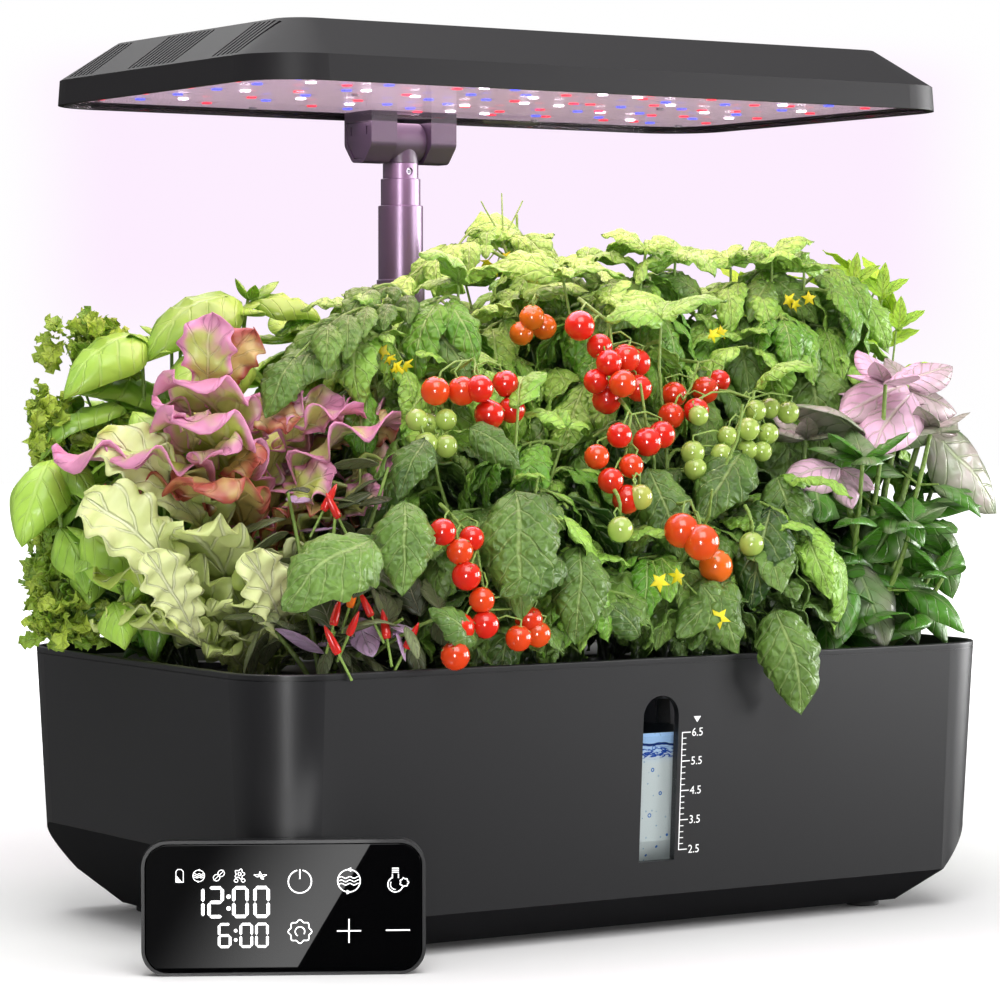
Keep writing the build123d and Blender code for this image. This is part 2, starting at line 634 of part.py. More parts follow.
NECK_SCREW_Z = TUBE_TOPS[3] - NECK_SCREW_DROP
NECK_BORE = TUBE_DIAMETERS[3] / 2 - TUBE_WALLS[3]
screw_way = Pos(MAST_X, MAST_Y, NECK_SCREW_Z) * Rot(90, 0, 0) * Cylinder(
    NECK_SCREW_RADIUS + FIT_GAP, TUBE_DIAMETERS[3], align=CENTRE_MIN
)
parts["mast_tube_top"] -= screw_way


# ---------------------------------------------------------------- hinge


def make_neck():
    """The plug in the top tube, the neck and the barrel that the lamp turns on."""
    seat = TUBE_TOPS[3]
    neck = rod(NECK_BORE - FIT_GAP, seat - NECK_PLUG, seat, MAST_X, MAST_Y)
    neck += rod(TUBE_DIAMETERS[3] / 2, seat, HINGE_Z, MAST_X, MAST_Y)
    half = CHEEK_GAP / 2 - WASHER_THICK - FIT_GAP
    neck += cross_rod(BARREL_RADIUS, MAST_X - half, MAST_X + half, MAST_Y, HINGE_Z)
    neck -= cross_rod(PIN_RADIUS + FIT_GAP, MAST_X - half - OVER, MAST_X + half + OVER, MAST_Y, HINGE_Z)
    neck -= Pos(MAST_X, MAST_Y - NECK_SCREW_START, NECK_SCREW_Z) * Rot(90, 0, 0) * Cylinder(
        NECK_SCREW_RADIUS, TUBE_DIAMETERS[3], align=CENTRE_MIN
    )
    return neck


def make_neck_screw():
    length = TUBE_DIAMETERS[3] / 2 - NECK_SCREW_SINK - NECK_SCREW_START
    at = Pos(MAST_X, MAST_Y - NECK_SCREW_START, NECK_SCREW_Z) * Rot(90, 0, 0)
    screw = at * Cylinder(NECK_SCREW_RADIUS - FIT_GAP, length, align=CENTRE_MIN)
    socket = at * Pos(0, 0, length + OVER) * Cylinder(
        NECK_SCREW_RADIUS / 2, NECK_SOCKET_DEPTH + OVER, align=CENTRE_MAX
    )
    return screw - socket


def cheek_profile(inset):
    """The cheek's shield outline in the YZ plane: flat top, straight sides, round bottom."""
    top = LAMP_Z - inset
    low = HINGE_Z - CHEEK_DROP + inset
    half = CHEEK_DEPTH / 2 - inset
    flat = CHEEK_FLAT / 2 - inset / 2
    bend = low + CHEEK_ROUND
    points = [(-half, top), (-half, bend), (-flat, low), (flat, low), (half, bend), (half, top)]
    outline = make_face(Polyline(*points, close=True))
    return fillet(outline.vertices().sort_by(Axis.Y)[:4], CHEEK_SOFT - inset / 2)


def cheek_slab(x0, x1, inset=0.0):
    plane = Plane(origin=(x0, MAST_Y, 0), x_dir=(0, 1, 0), z_dir=(1, 0, 0))
    return plane * extrude(cheek_profile(inset), x1 - x0)


def make_bracket():
    """Two cheeks joined by the plate that is screwed up into the lamp."""
    inner, outer = CHEEK_GAP / 2, CHEEK_GAP / 2 + CHEEK_WIDTH
    bracket = None
    for sign in (-1, 1):
        x0, x1 = sorted((sign * inner, sign * outer))
        cheek = cheek_slab(MAST_X + x0, MAST_X + x1)
        r0, r1 = sorted((sign * (outer - CAP_RECESS), sign * (outer + OVER)))
        cheek -= cheek_slab(MAST_X + r0, MAST_X + r1, CAP_RIM)
        h0, h1 = sorted((sign * (outer - CAP_RECESS - PIN_HEAD - PIN_HEAD_GAP), sign * outer))
        cheek -= cross_rod(PIN_HEAD_RADIUS + FIT_GAP, MAST_X + h0, MAST_X + h1, MAST_Y, HINGE_Z)
        bracket = cheek if bracket is None else bracket + cheek
    plate = Pos(MAST_X, MAST_Y, LAMP_Z) * Box(2 * outer, CHEEK_DEPTH, BRACKET_PLATE, align=CENTRE_MIN)
    bracket += plate
    reach = outer + OVER
    return bracket - cross_rod(PIN_RADIUS + FIT_GAP, MAST_X - reach, MAST_X + reach, MAST_Y, HINGE_Z)


def make_pin():
    outer = CHEEK_GAP / 2 + CHEEK_WIDTH - CAP_RECESS - PIN_END_GAP
    pin = cross_rod(PIN_RADIUS, MAST_X - outer, MAST_X + outer, MAST_Y, HINGE_Z)
    pin += cross_rod(PIN_HEAD_RADIUS, MAST_X - outer, MAST_X - outer + PIN_HEAD, MAST_Y, HINGE_Z)
    return pin + cross_rod(PIN_HEAD_RADIUS, MAST_X + outer - PIN_HEAD, MAST_X + outer, MAST_Y, HINGE_Z)


def make_cap(sign):
    """The snap cap in a cheek's recess, with two clip slots near its top."""
    outer = CHEEK_GAP / 2 + CHEEK_WIDTH
    x0, x1 = sorted((sign * (outer - CAP_RECESS), sign * (outer - CAP_SINK)))
    cap = cheek_slab(MAST_X + x0, MAST_X + x1, CAP_RIM + CAP_FIT)
    slot_z = LAMP_Z - CAP_RIM - CAP_SLOT_HEIGHT
    for side in (-1, 1):
        slot = Box(CAP_RECESS, CAP_SLOT_WIDTH, CAP_SLOT_HEIGHT)
        cap -= Pos(MAST_X + sign * outer, MAST_Y + side * CAP_SLOT_PITCH, slot_z) * slot
    return cap


def make_washer(sign):
    x0, x1 = sorted((sign * (CHEEK_GAP / 2 - WASHER_THICK), sign * CHEEK_GAP / 2))
    ring = cross_rod(WASHER_RADIUS, MAST_X + x0, MAST_X + x1, MAST_Y, HINGE_Z)
    return ring - cross_rod(PIN_RADIUS + FIT_GAP, MAST_X + x0 - OVER, MAST_X + x1 + OVER, MAST_Y, HINGE_Z)


parts["hinge_neck"] = make_neck()
parts["neck_screw"] = make_neck_screw()
parts["hinge_bracket"] = make_bracket()
parts["hinge_pin"] = make_pin()
parts["hinge_caps"] = solids_of([make_cap(-1), make_cap(1)])
parts["friction_washers"] = solids_of([make_washer(-1), make_washer(1)])


# ---------------------------------------------------------------- lamp


def lamp_outline(inset, z, corner=None):
    """The lamp's outline at height z, inset from its lower edge."""
    return Pos(0, LAMP_Y, z) * RectangleRounded(
        LAMP_LENGTH - 2 * inset, LAMP_DEPTH - 2 * inset, LAMP_CORNER - inset if corner is None else corner
    )


def lamp_form(wall, low, roof):
    """The lamp's upright band and sloped top, inset by the wall."""
    crease = LAMP_Z + LAMP_BAND
    slope = math.atan2(LAMP_HEIGHT - LAMP_BAND, LAMP_TOP_INSET - LAMP_BAND_INSET)
    top = LAMP_Z + LAMP_HEIGHT - roof
    run = (top - crease) / math.tan(slope)
    inset_top = LAMP_BAND_INSET + run + wall / math.sin(slope)
    corner_top = LAMP_TOP_CORNER + wall
    return loft(
        [
            lamp_outline(wall, low),
            lamp_outline(LAMP_BAND_INSET + wall, crease),
            lamp_outline(inset_top, top, corner=corner_top),
        ],
        ruled=True,
    )


SLOPE_ANGLE = math.degrees(math.atan2(LAMP_HEIGHT - LAMP_BAND, LAMP_TOP_INSET - LAMP_BAND_INSET))


def louvres():
    """The slots that run down both end slopes."""
    rise = LAMP_HEIGHT - LAMP_BAND
    run = LAMP_TOP_INSET - LAMP_BAND_INSET
    slope_length = math.hypot(rise, run) - 2 * LOUVRE_MARGIN
    middle_x = LAMP_LENGTH / 2 - LAMP_BAND_INSET - run / 2
    middle_z = LAMP_Z + LAMP_BAND + rise / 2
    side = LAMP_DEPTH / 2 - LOUVRE_SIDE_MARGIN
    groups = ((-side, LOUVRE_SIDE_COUNT), (0, LOUVRE_MIDDLE_COUNT), (side, LOUVRE_SIDE_COUNT))
    cutters = []
    for sign in (-1, 1):
        for centre, count in groups:
            for n in range(count):
                y = LAMP_Y + centre + (n - (count - 1) / 2) * LOUVRE_PITCH
                cutters.append(
                    Pos(sign * middle_x, y, middle_z)
                    * Rot(0, sign * SLOPE_ANGLE, 0)
                    * Box(slope_length, LOUVRE_WIDTH, 4 * LAMP_WALL)
                )
    return cutters


def bracket_way(grow, low, high):
    """The opening that the hinge bracket passes through."""
    width = CHEEK_GAP + 2 * CHEEK_WIDTH + 2 * grow
    return Pos(MAST_X, MAST_Y, low) * Box(width, CHEEK_DEPTH + 2 * grow, high - low, align=CENTRE_MIN)


def make_housing():
    shell = lamp_form(0, LAMP_Z, 0)
    hollow = lamp_form(LAMP_WALL, COVER_Z + COVER_THICK, LAMP_ROOF)
    hollow += extrude(lamp_outline(BEZEL, LAMP_Z - OVER), COVER_Z + COVER_THICK + OVER - LAMP_Z)
    shell -= hollow
    shelf_low = COVER_Z + COVER_THICK
    shelf = extrude(lamp_outline(LAMP_WALL / 2, shelf_low), BOARD_Z - shelf_low)
    shelf -= extrude(lamp_outline(LAMP_WALL + SHOULDER, shelf_low - OVER), BOARD_Z - shelf_low + 2 * OVER)
    shell += shelf & lamp_form(LAMP_WALL / 4, LAMP_Z, 0)
    boss = bracket_way(-BOSS_INSET, LAMP_Z + BRACKET_PLATE, LAMP_Z + LAMP_HEIGHT)
    boss &= lamp_form(LAMP_WALL / 2, LAMP_Z, LAMP_ROOF / 2)
    shell -= bracket_way(COVER_GAP, LAMP_Z - OVER, LAMP_Z + BRACKET_PLATE)
    shell += boss
    for cutter in louvres():
        shell -= cutter
    return shell


def make_cover():
    sheet = extrude(lamp_outline(BEZEL + COVER_GAP, COVER_Z), COVER_THICK)
    sheet -= bracket_way(COVER_GAP, COVER_Z - OVER, COVER_Z + COVER_THICK + OVER)
    return sheet


def make_board():
    sheet = extrude(lamp_outline(LAMP_WALL + BOARD_MARGIN, BOARD_Z), BOARD_THICK)
    return sheet - bracket_way(COVER_GAP, BOARD_Z - OVER, BOARD_Z + BOARD_THICK + OVER)


def on_board(x, y):
    """A place of the board's layout on the lamp."""
    return MAST_X + x * LAMP_LENGTH / 2 / LAYOUT_X, LAMP_Y + y * LAMP_DEPTH / 2 / LAYOUT_Y


def chips(columns):
    """A group of LED chips hanging under the board."""
    front = LAMP_Y - LAMP_DEPTH / 2 + CHIP_MARGIN
    bracket_front = MAST_Y - CHEEK_DEPTH / 2 - BRACKET_MARGIN - CHIP_SIZE / 2
    bracket_side = CHEEK_GAP / 2 + CHEEK_WIDTH + BRACKET_MARGIN + CHIP_SIZE / 2
    found = []
    for column, first, pitch in columns:
        x, y = on_board(column, first)
        y -= pitch * math.floor((y - front) / pitch)
        back = LAMP_Y + LAMP_DEPTH / 2 - CHIP_MARGIN - BOARD_REAR_STRIP
        if abs(x - MAST_X) < bracket_side:
            back = min(back, bracket_front)
        for n in range(int((back - y) / pitch) + 1):
            chip = Box(CHIP_SIZE, CHIP_SIZE, CHIP_HEIGHT, align=CENTRE_MAX)
            found.append(Pos(x, y + n * pitch, BOARD_Z) * chip)
    return solids_of(found)


parts["lamp_housing"] = make_housing()
parts["lamp_cover"] = make_cover()
parts["led_board"] = make_board()
parts["led_chips_white"] = chips(WHITE_COLUMNS)
parts["led_chips_red"] = chips(RED_COLUMNS)
parts["led_chips_blue"] = chips(BLUE_COLUMNS)
parts["lamp_screws"] = solids_of(
    rod(BOARD_SCREW_RADIUS, BOARD_Z - BOARD_SCREW_HEAD, BOARD_Z, *on_board(x, y)) for x, y in BOARD_SCREWS
)


def make_tab():
    """The small plate over the wire joint behind the chips."""
    y = LAMP_Y + LAMP_DEPTH / 2 - TAB_BACK
    foot = Pos(TAB_X, y, COVER_Z) * Rectangle(TAB_LENGTH, TAB_WIDTH)
    face = Pos(TAB_X, y, COVER_Z - TAB_THICK) * Rectangle(
        TAB_LENGTH - 2 * TAB_END_BEVEL, TAB_WIDTH - 2 * TAB_SIDE_BEVEL
    )
    return loft([face, foot], ruled=True)


parts["junction_plate"] = make_tab()


# ---------------------------------------------------------------- remote

yaw = math.radians(REMOTE_YAW)
face_normal = Vector(-math.sin(yaw), -math.cos(yaw), 0)
face_along = Vector(math.cos(yaw), -math.sin(yaw), 0)
corner_centre = Vector(-TANK_LENGTH / 2 + TANK_CORNER, -TANK_DEPTH / 2 + TANK_CORNER, 0)
corner_radius = TANK_CORNER - DRAFT * (RIM_Z - REMOTE_HEIGHT)
stand_out = corner_radius + REMOTE_STAND_OFF + REMOTE_THICK
REMOTE_MIDDLE = corner_centre + face_normal * stand_out + face_along * REMOTE_SLIDE
# The plane's origin is the middle of the remote's front face, its z points out of the glass.
REMOTE_PLANE = Plane(
    origin=REMOTE_MIDDLE + Vector(0, 0, REMOTE_HEIGHT / 2), x_dir=face_along, z_dir=face_normal
)


def remote_slab(inset, front, back):
    """The remote's outline between two depths behind its front."""
    outline = RectangleRounded(REMOTE_WIDTH - 2 * inset, REMOTE_HEIGHT - 2 * inset, REMOTE_CORNER - inset)
    return Pos(0, 0, -back) * extrude(outline, back - front)


def make_remote_case():
    case = remote_slab(0, 0, REMOTE_THICK)
    case = fillet(case.edges().group_by(Axis.Z)[0], REMOTE_ROUND)
    case -= remote_slab(GLASS_INSET, -OVER, GLASS_THICK)
    case -= remote_slab(REMOTE_WALL + REMOTE_SHOULDER, GLASS_THICK, REMOTE_THICK - REMOTE_WALL)
    return case


def make_remote_glass():
    glass = remote_slab(GLASS_INSET + GLASS_GAP, 0, GLASS_THICK)
    return chamfer(glass.edges().group_by(Axis.Z)[-1], GLASS_BEVEL)


parts["remote_case"] = REMOTE_PLANE * make_remote_case()
parts["remote_glass"] = REMOTE_PLANE * make_remote_glass()
parts["remote_board"] = REMOTE_PLANE * remote_slab(
    REMOTE_BOARD_INSET, GLASS_THICK, GLASS_THICK + REMOTE_BOARD_THICK
)
parts["remote_cell"] = REMOTE_PLANE * Pos(
    0, 0, -(REMOTE_THICK - REMOTE_WALL - CELL_RADIUS)
) * Rot(0, 90, 0) * Cylinder(CELL_RADIUS, CELL_LENGTH)


# ---------------------------------------------------------------- export

os.makedirs("parts", exist_ok=True)
for name, shape in parts.items():
    found = shape.solids()
    export_step(found[0] if len(found) == 1 else Compound(children=list(found)), f"parts/{name}.step")
    size = shape.bounding_box().size
    print(f"{name}: {len(found)} solids, {size.X:.1f} x {size.Y:.1f} x {size.Z:.1f}")
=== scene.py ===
import json
import math
import random

import bmesh
import bpy
from mathutils import Euler, Matrix, Vector

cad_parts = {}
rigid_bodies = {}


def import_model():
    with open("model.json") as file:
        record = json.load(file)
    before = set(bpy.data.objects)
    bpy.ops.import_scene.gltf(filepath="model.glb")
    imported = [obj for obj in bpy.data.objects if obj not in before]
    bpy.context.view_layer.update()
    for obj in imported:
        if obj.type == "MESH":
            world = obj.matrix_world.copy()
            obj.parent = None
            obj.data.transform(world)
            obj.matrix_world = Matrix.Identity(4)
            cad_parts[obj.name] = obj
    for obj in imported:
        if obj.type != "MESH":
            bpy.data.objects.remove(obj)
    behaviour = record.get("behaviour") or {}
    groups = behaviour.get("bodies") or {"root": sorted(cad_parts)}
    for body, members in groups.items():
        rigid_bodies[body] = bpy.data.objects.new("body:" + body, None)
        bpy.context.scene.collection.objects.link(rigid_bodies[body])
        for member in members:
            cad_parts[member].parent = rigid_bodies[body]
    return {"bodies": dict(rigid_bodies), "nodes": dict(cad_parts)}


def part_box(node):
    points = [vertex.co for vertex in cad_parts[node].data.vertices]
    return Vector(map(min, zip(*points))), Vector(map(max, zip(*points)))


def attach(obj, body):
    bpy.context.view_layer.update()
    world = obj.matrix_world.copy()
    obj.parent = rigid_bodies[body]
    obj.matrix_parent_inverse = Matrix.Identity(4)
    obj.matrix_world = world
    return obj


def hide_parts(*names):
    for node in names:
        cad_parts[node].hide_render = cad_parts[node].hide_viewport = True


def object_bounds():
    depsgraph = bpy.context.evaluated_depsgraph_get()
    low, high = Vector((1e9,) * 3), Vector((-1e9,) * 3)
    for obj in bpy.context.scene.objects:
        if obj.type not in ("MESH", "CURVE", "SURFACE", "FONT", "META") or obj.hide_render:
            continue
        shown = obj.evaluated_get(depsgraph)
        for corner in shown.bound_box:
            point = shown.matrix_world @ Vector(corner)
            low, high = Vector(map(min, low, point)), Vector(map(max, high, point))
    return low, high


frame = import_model()
cad_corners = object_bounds()
nodes = frame["nodes"]
scene = bpy.context.scene

# Countertop hydroponic garden: the finishes of its moulded pieces, the light of its lamp, the water,
# the printed scale, the remote's display and the twelve plants. Sizes are millimetres, times MM.
MM = 0.001
P = Vector
UP = P((0, 0, 1))
MATH, VECTOR_MATH, NOISE = "ShaderNodeMath", "ShaderNodeVectorMath", "ShaderNodeTexNoise"
RANGE, SMOOTH = "ShaderNodeMapRange", "SMOOTHSTEP"  # inputs: value, from low, from high, to low, to high
MIX = "ShaderNodeMix"  # inputs: 0 share, 6 one colour, 7 the other
ATTRIBUTE = "GeometryNodeInputNamedAttribute"


# ---------------------------------------------------------------- helpers


def rgb(code):
    """An sRGB hex colour as linear red, green, blue and alpha."""
    values = [int(code[n : n + 2], 16) / 255 for n in (1, 3, 5)]
    return [v / 12.92 if v <= 0.04045 else ((v + 0.055) / 1.055) ** 2.4 for v in values] + [1.0]


def socket(sockets, key):
    """The socket with that number, or the one in use with that name."""
    if isinstance(key, int):
        return sockets[key]
    return next(s for s in sockets if s.name == key and s.enabled)


def add(tree, kind, inputs=(), **settings):
    """A node with its settings. Its inputs, by name or in order, are set to values or linked from nodes."""
    made = tree.nodes.new(kind)
    for name, value in settings.items():
        setattr(made, name, value)
    for key, value in inputs.items() if isinstance(inputs, dict) else enumerate(inputs):
        target = socket(made.inputs, key)
        if isinstance(value, bpy.types.Node):
            value = next(s for s in value.outputs if s.enabled)
        if isinstance(value, bpy.types.NodeSocket):
            tree.links.new(value, target)
        else:
            target.default_value = value
    return made


def finish(name, colour, **values):
    """A material of one Principled shader, its sockets set by name, _ for a space, to numbers or hex."""
    made = bpy.data.materials.new(name)
    made.use_nodes = True
    shader = made.node_tree.nodes["Principled BSDF"]
    shader.inputs["Base Color"].default_value = rgb(colour)
    for key, value in values.items():
        shader.inputs[key.replace("_", " ")].default_value = rgb(value) if isinstance(value, str) else value
    return made, made.node_tree, shader


def link(tree, source, target):
    """Links a node's output in use to a socket."""
    tree.links.new(next(s for s in source.outputs if s.enabled), target)


def grain(tree, shader, size, depth):
    """A fine moulded or cast texture: bumps of one size and depth in millimetres."""
    place = add(tree, "ShaderNodeTexCoord").outputs["Object"]
    noise = add(tree, NOISE, {"Vector": place, "Scale": 1 / (size * MM), "Detail": 3.0})
    bump = add(tree, "ShaderNodeBump", {"Height": noise, "Distance": depth * MM, "Strength": 1.0})
    link(tree, bump, shader.inputs["Normal"])


def piece(name, mesh, body, slot, *replaced):
    """Makes a mesh a piece of the object that rides on a body."""
    made = bpy.data.objects.new(name, mesh)
    scene.collection.objects.link(made)
    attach(made, body)
    if replaced:
        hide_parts(*replaced)
    return made


def stage_mesh(name, points, faces, material):
    """A mesh of the studio, which is no piece of the object."""
    mesh = bpy.data.meshes.new(name)
    mesh.from_pydata(points, [], faces)
    mesh.materials.append(material)
    made = bpy.data.objects.new(name, mesh)
    scene.collection.objects.link(made)
    return made


def group(name, sockets):
    """An empty Geometry Nodes tree with named inputs, and its two end nodes."""
    tree = bpy.data.node_groups.new(name, "GeometryNodeTree")
    tree.interface.new_socket("Geometry", in_out="OUTPUT", socket_type="NodeSocketGeometry")
    tree.interface.new_socket("Geometry", in_out="INPUT", socket_type="NodeSocketGeometry")
    for label, kind in sockets:
        tree.interface.new_socket(label, in_out="INPUT", socket_type=kind)
    return tree, add(tree, "NodeGroupInput"), add(tree, "NodeGroupOutput")


def copies_tree():
    """Copies of one object on points, turned and sized by them, then bent a little by a smooth field."""
    tree, start, end = group("copies on points", (("Copy", "NodeSocketObject"), ("Wobble", "NodeSocketFloat"),
                                                  ("Wobble Size", "NodeSocketFloat"),
                                                  ("Finish", "NodeSocketMaterial")))
    copy = add(tree, "GeometryNodeObjectInfo", {"Object": start.outputs["Copy"], "As Instance": True})
    turn = add(tree, ATTRIBUTE, {"Name": "turn"}, data_type="FLOAT_VECTOR")
    size = add(tree, ATTRIBUTE, {"Name": "size"}, data_type="FLOAT")
    turned = add(tree, "FunctionNodeEulerToRotation", (turn,))
    placed = add(tree, "GeometryNodeInstanceOnPoints",
                 {"Points": start.outputs["Geometry"], "Instance": copy.outputs["Geometry"],
                  "Rotation": turned, "Scale": size})
    real = add(tree, "GeometryNodeRealizeInstances", {"Geometry": placed})
    scale = add(tree, MATH, (1.0, start.outputs["Wobble Size"]), operation="DIVIDE")
    place = add(tree, "GeometryNodeInputPosition")
    field = add(tree, NOISE, {"Vector": place, "Scale": scale, "Detail": 1.0})
    centred = add(tree, VECTOR_MATH, (field.outputs["Color"], (0.5, 0.5, 0.5)), operation="SUBTRACT")
    offset = add(tree, VECTOR_MATH, {0: centred, "Scale": start.outputs["Wobble"]}, operation="SCALE")
    moved = add(tree, "GeometryNodeSetPosition", {"Geometry": real, "Offset": offset})
    coated = add(tree, "GeometryNodeSetMaterial", {"Geometry": moved, "Material": start.outputs["Finish"]})
    link(tree, coated, end.inputs["Geometry"])
    return tree


def rods_tree():
    """Round rods along edges, as thick as the points say."""
    tree, start, end = group("rods along paths", (("Sides", "NodeSocketInt"),
                                                  ("Finish", "NodeSocketMaterial")))
    thick = add(tree, ATTRIBUTE, {"Name": "thick"}, data_type="FLOAT")
    path = add(tree, "GeometryNodeMeshToCurve", {"Mesh": start.outputs["Geometry"]})
    sized = add(tree, "GeometryNodeSetCurveRadius", {"Curve": path, "Radius": thick})
    ring = add(tree, "GeometryNodeCurvePrimitiveCircle",
               {"Resolution": start.outputs["Sides"], "Radius": 1.0})
    rod = add(tree, "GeometryNodeCurveToMesh", {"Curve": sized, "Profile Curve": ring.outputs["Curve"],
                                                "Fill Caps": True})
    if "Scale" in rod.inputs:
        link(tree, thick, rod.inputs["Scale"])
    real = add(tree, "GeometryNodeRealizeInstances", {"Geometry": rod})
    smooth = add(tree, "GeometryNodeSetShadeSmooth", {"Geometry": real, "Shade Smooth": True})
    coated = add(tree, "GeometryNodeSetMaterial", {"Geometry": smooth, "Material": start.outputs["Finish"]})
    link(tree, coated, end.inputs["Geometry"])
    return tree


COPIES = copies_tree()
RODS = rods_tree()


def grown(name, mesh, tree, values):
    """Runs a tree on a mesh and gives the plain mesh that it makes."""
    holder = bpy.data.objects.new(name, mesh)
    scene.collection.objects.link(holder)
    modifier = holder.modifiers.new(name, "NODES")
    modifier.node_group = tree
    for item in tree.interface.items_tree:
        if item.in_out == "INPUT" and item.name in values:
            modifier[item.identifier] = values[item.name]
    bpy.context.view_layer.update()
    graph = bpy.context.evaluated_depsgraph_get()
    made = bpy.data.meshes.new_from_object(holder.evaluated_get(graph), depsgraph=graph)
    bpy.data.objects.remove(holder)
    made.name = name
    return made


def points_mesh(name, copies):
    """Points with a turn, a size and a shade each, from (place, turn matrix, size, shade) in millimetres."""
    mesh = bpy.data.meshes.new(name)
    mesh.from_pydata([place * MM for place, *_ in copies], [], [])
    rows = (("turn", "FLOAT_VECTOR", "vector",
             [angle for _, turn, _, _ in copies for angle in turn.to_euler()]),
            ("size", "FLOAT", "value", [size * MM for _, _, size, _ in copies]),
            ("shade", "FLOAT", "value", [shade for *_, shade in copies]))
    for label, kind, field, values in rows:
        mesh.attributes.new(label, kind, "POINT").data.foreach_set(field, values)
    return mesh


def paths_mesh(name, paths):
    """Edges along paths, from (points, first radius, last radius) in millimetres."""
    spots, edges, radii = [], [], []
    for points, first, last in paths:
        base = len(spots)
        count = len(points)
        spots += [point * MM for point in points]
        radii += [(first + (last - first) * n / (count - 1)) * MM for n in range(count)]
        edges += [(base + n, base + n + 1) for n in range(count - 1)]
    mesh = bpy.data.meshes.new(name)
    mesh.from_pydata(spots, edges, [])
    mesh.attributes.new("thick", "FLOAT", "POINT").data.foreach_set("value", radii)
    return mesh


# ---------------------------------------------------------------- camera, floor and light

CAMERA_PLACE = P((-925.11, -1417.62, 239.3)) * MM
CAMERA_YAW = math.radians(32.979)  # right of +Y
CAMERA_PITCH = math.radians(1.911)  # down
LENS, SENSOR = 136.35, 36.0
camera = bpy.data.objects.new("camera", bpy.data.cameras.new("camera"))
camera.data.lens = LENS
camera.data.sensor_width = SENSOR
camera.location = CAMERA_PLACE
camera.rotation_euler = Euler((math.pi / 2 - CAMERA_PITCH, 0, -CAMERA_YAW))
scene.collection.objects.link(camera)
scene.camera = camera
scene.view_settings.view_transform = "Standard"

# White paper: it takes the soft contact shadow, and glows more the further it is from the part.
FLOOR_REACH = 6.0
paper, paper_tree, paper_shader = finish("matt_white_paper", "#f7f6f6", Roughness=0.85,
                                         Emission_Color="#ffffff", Specular_IOR_Level=0.1)
place = add(paper_tree, "ShaderNodeTexCoord").outputs["Object"]
reach = add(paper_tree, VECTOR_MATH, (place,), operation="LENGTH")
lit = add(paper_tree, RANGE, (reach, 0.4, 1.6, 0.02, 1.0))
link(paper_tree, lit, paper_shader.inputs["Emission Strength"])
floor_corners = [(x * FLOOR_REACH, y * FLOOR_REACH, 0) for x, y in ((-1, -1), (1, -1), (1, 1), (-1, 1))]
floor = stage_mesh("studio_floor", floor_corners, [(0, 1, 2, 3)], paper)
floor.visible_glossy = False

world = bpy.data.worlds.new("studio")
world.use_nodes = True
scene.world = world
air = world.node_tree
WAY = add(air, "ShaderNodeTexCoord").outputs["Generated"]


def glow_from(axis, low, high, strength=1.0):
    """A soft patch of the studio's light about an axis: how bright it is in each direction."""
    dot = add(air, VECTOR_MATH, (WAY, axis), operation="DOT_PRODUCT")
    return add(air, RANGE, (dot, low, high, 0.0, strength), interpolation_type=SMOOTH)


overhead = glow_from((0.0, 0.0, 1.0), 0.15, 0.9, 0.7)
behind = glow_from((-0.54, 0.84, 0.05), 0.6, 1.0, 0.18)
sky = add(air, MATH, (overhead, behind), operation="ADD")
ACROSS, UPRIGHT = P((0.839, -0.544, 0.0)), P((0.0, 0.0, 1.0))
# painted light: a pale pink patch on the white backdrop behind the lamp stands in for the grow lamp's glow on
# it
left_fade = glow_from(tuple(ACROSS), -0.135, -0.098)
right_fade = glow_from(tuple(-ACROSS), -0.135, -0.098)
low_fade = glow_from(tuple(UPRIGHT), -0.02, 0.03)
high_fade = glow_from(tuple(-UPRIGHT), -0.09, -0.072)
painted_glow_across = add(air, MATH, (left_fade, right_fade), operation="MULTIPLY")
painted_glow_upright = add(air, MATH, (low_fade, high_fade), operation="MULTIPLY")
painted_lamp_glow = add(air, MATH, (painted_glow_across, painted_glow_upright), operation="MULTIPLY")
backdrop = add(air, MIX, {0: painted_lamp_glow, 6: rgb("#ffffff"), 7: rgb("#fdeeff")}, data_type="RGBA")
lighting = add(air, "ShaderNodeCombineColor", (sky, sky, sky))
seen = add(air, "ShaderNodeLightPath").outputs["Is Camera Ray"]
shown = add(air, MIX, {0: seen, 6: lighting, 7: backdrop}, data_type="RGBA")
link(air, shown, air.nodes["Background"].inputs["Color"])
air.nodes["Background"].inputs["Strength"].default_value = 1.0


def softbox(name, place, target, width, height, power, on_matt=True, colour="#ffffff"):
    """A rectangular area light at a place in metres, turned to its target; gloss alone if not on_matt."""
    light = bpy.data.lights.new(name, "AREA")
    light.shape = "RECTANGLE"
    light.size, light.size_y = width, height
    light.energy = power
    light.color = rgb(colour)[:3]
    lamp = bpy.data.objects.new(name, light)
    lamp.location = place
    lamp.rotation_euler = (Vector(target) - Vector(place)).to_track_quat("-Z", "Y").to_euler()
    lamp.visible_diffuse = on_matt
    scene.collection.objects.link(lamp)
    return lamp


softbox("key_right", (1.55, -1.45, 0.38), (0, 0, 0.08), 0.8, 0.8, 20.0)
softbox("top_front", (-0.5, -1.3, 1.9), (0, 0, 0.2), 1.4, 1.4, 30.0)
softbox("top_soft", (-0.2, 0.4, 2.2), (0, 0, 0.1), 1.6, 1.6, 16.0)
softbox("corner_strip", (-1.67, -2.24, 0.2), (-0.19, -0.11, 0.06), 0.35, 0.9, 40.0, False)
softbox("rim_right", (1.9, -0.3, 0.3), (0.19, 0, 0.08), 1.0, 0.7, 34.0, False)
softbox("slope_back", (0.35, 1.7, 1.4), (-0.2, 0, 0.38), 0.8, 0.6, 4.0)
cover_low, cover_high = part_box("lamp_cover")
under = (cover_low + cover_high) / 2
under.z = cover_low.z - 2 * MM
cover = cover_high - cover_low
grow_light = softbox("grow_light", under, under - UP, cover.x * 0.9, cover.y * 0.85, 0.55, colour="#ffd6f4")
grow_light.parent = frame["bodies"]["lamp"]


# ---------------------------------------------------------------- finishes of the moulded pieces


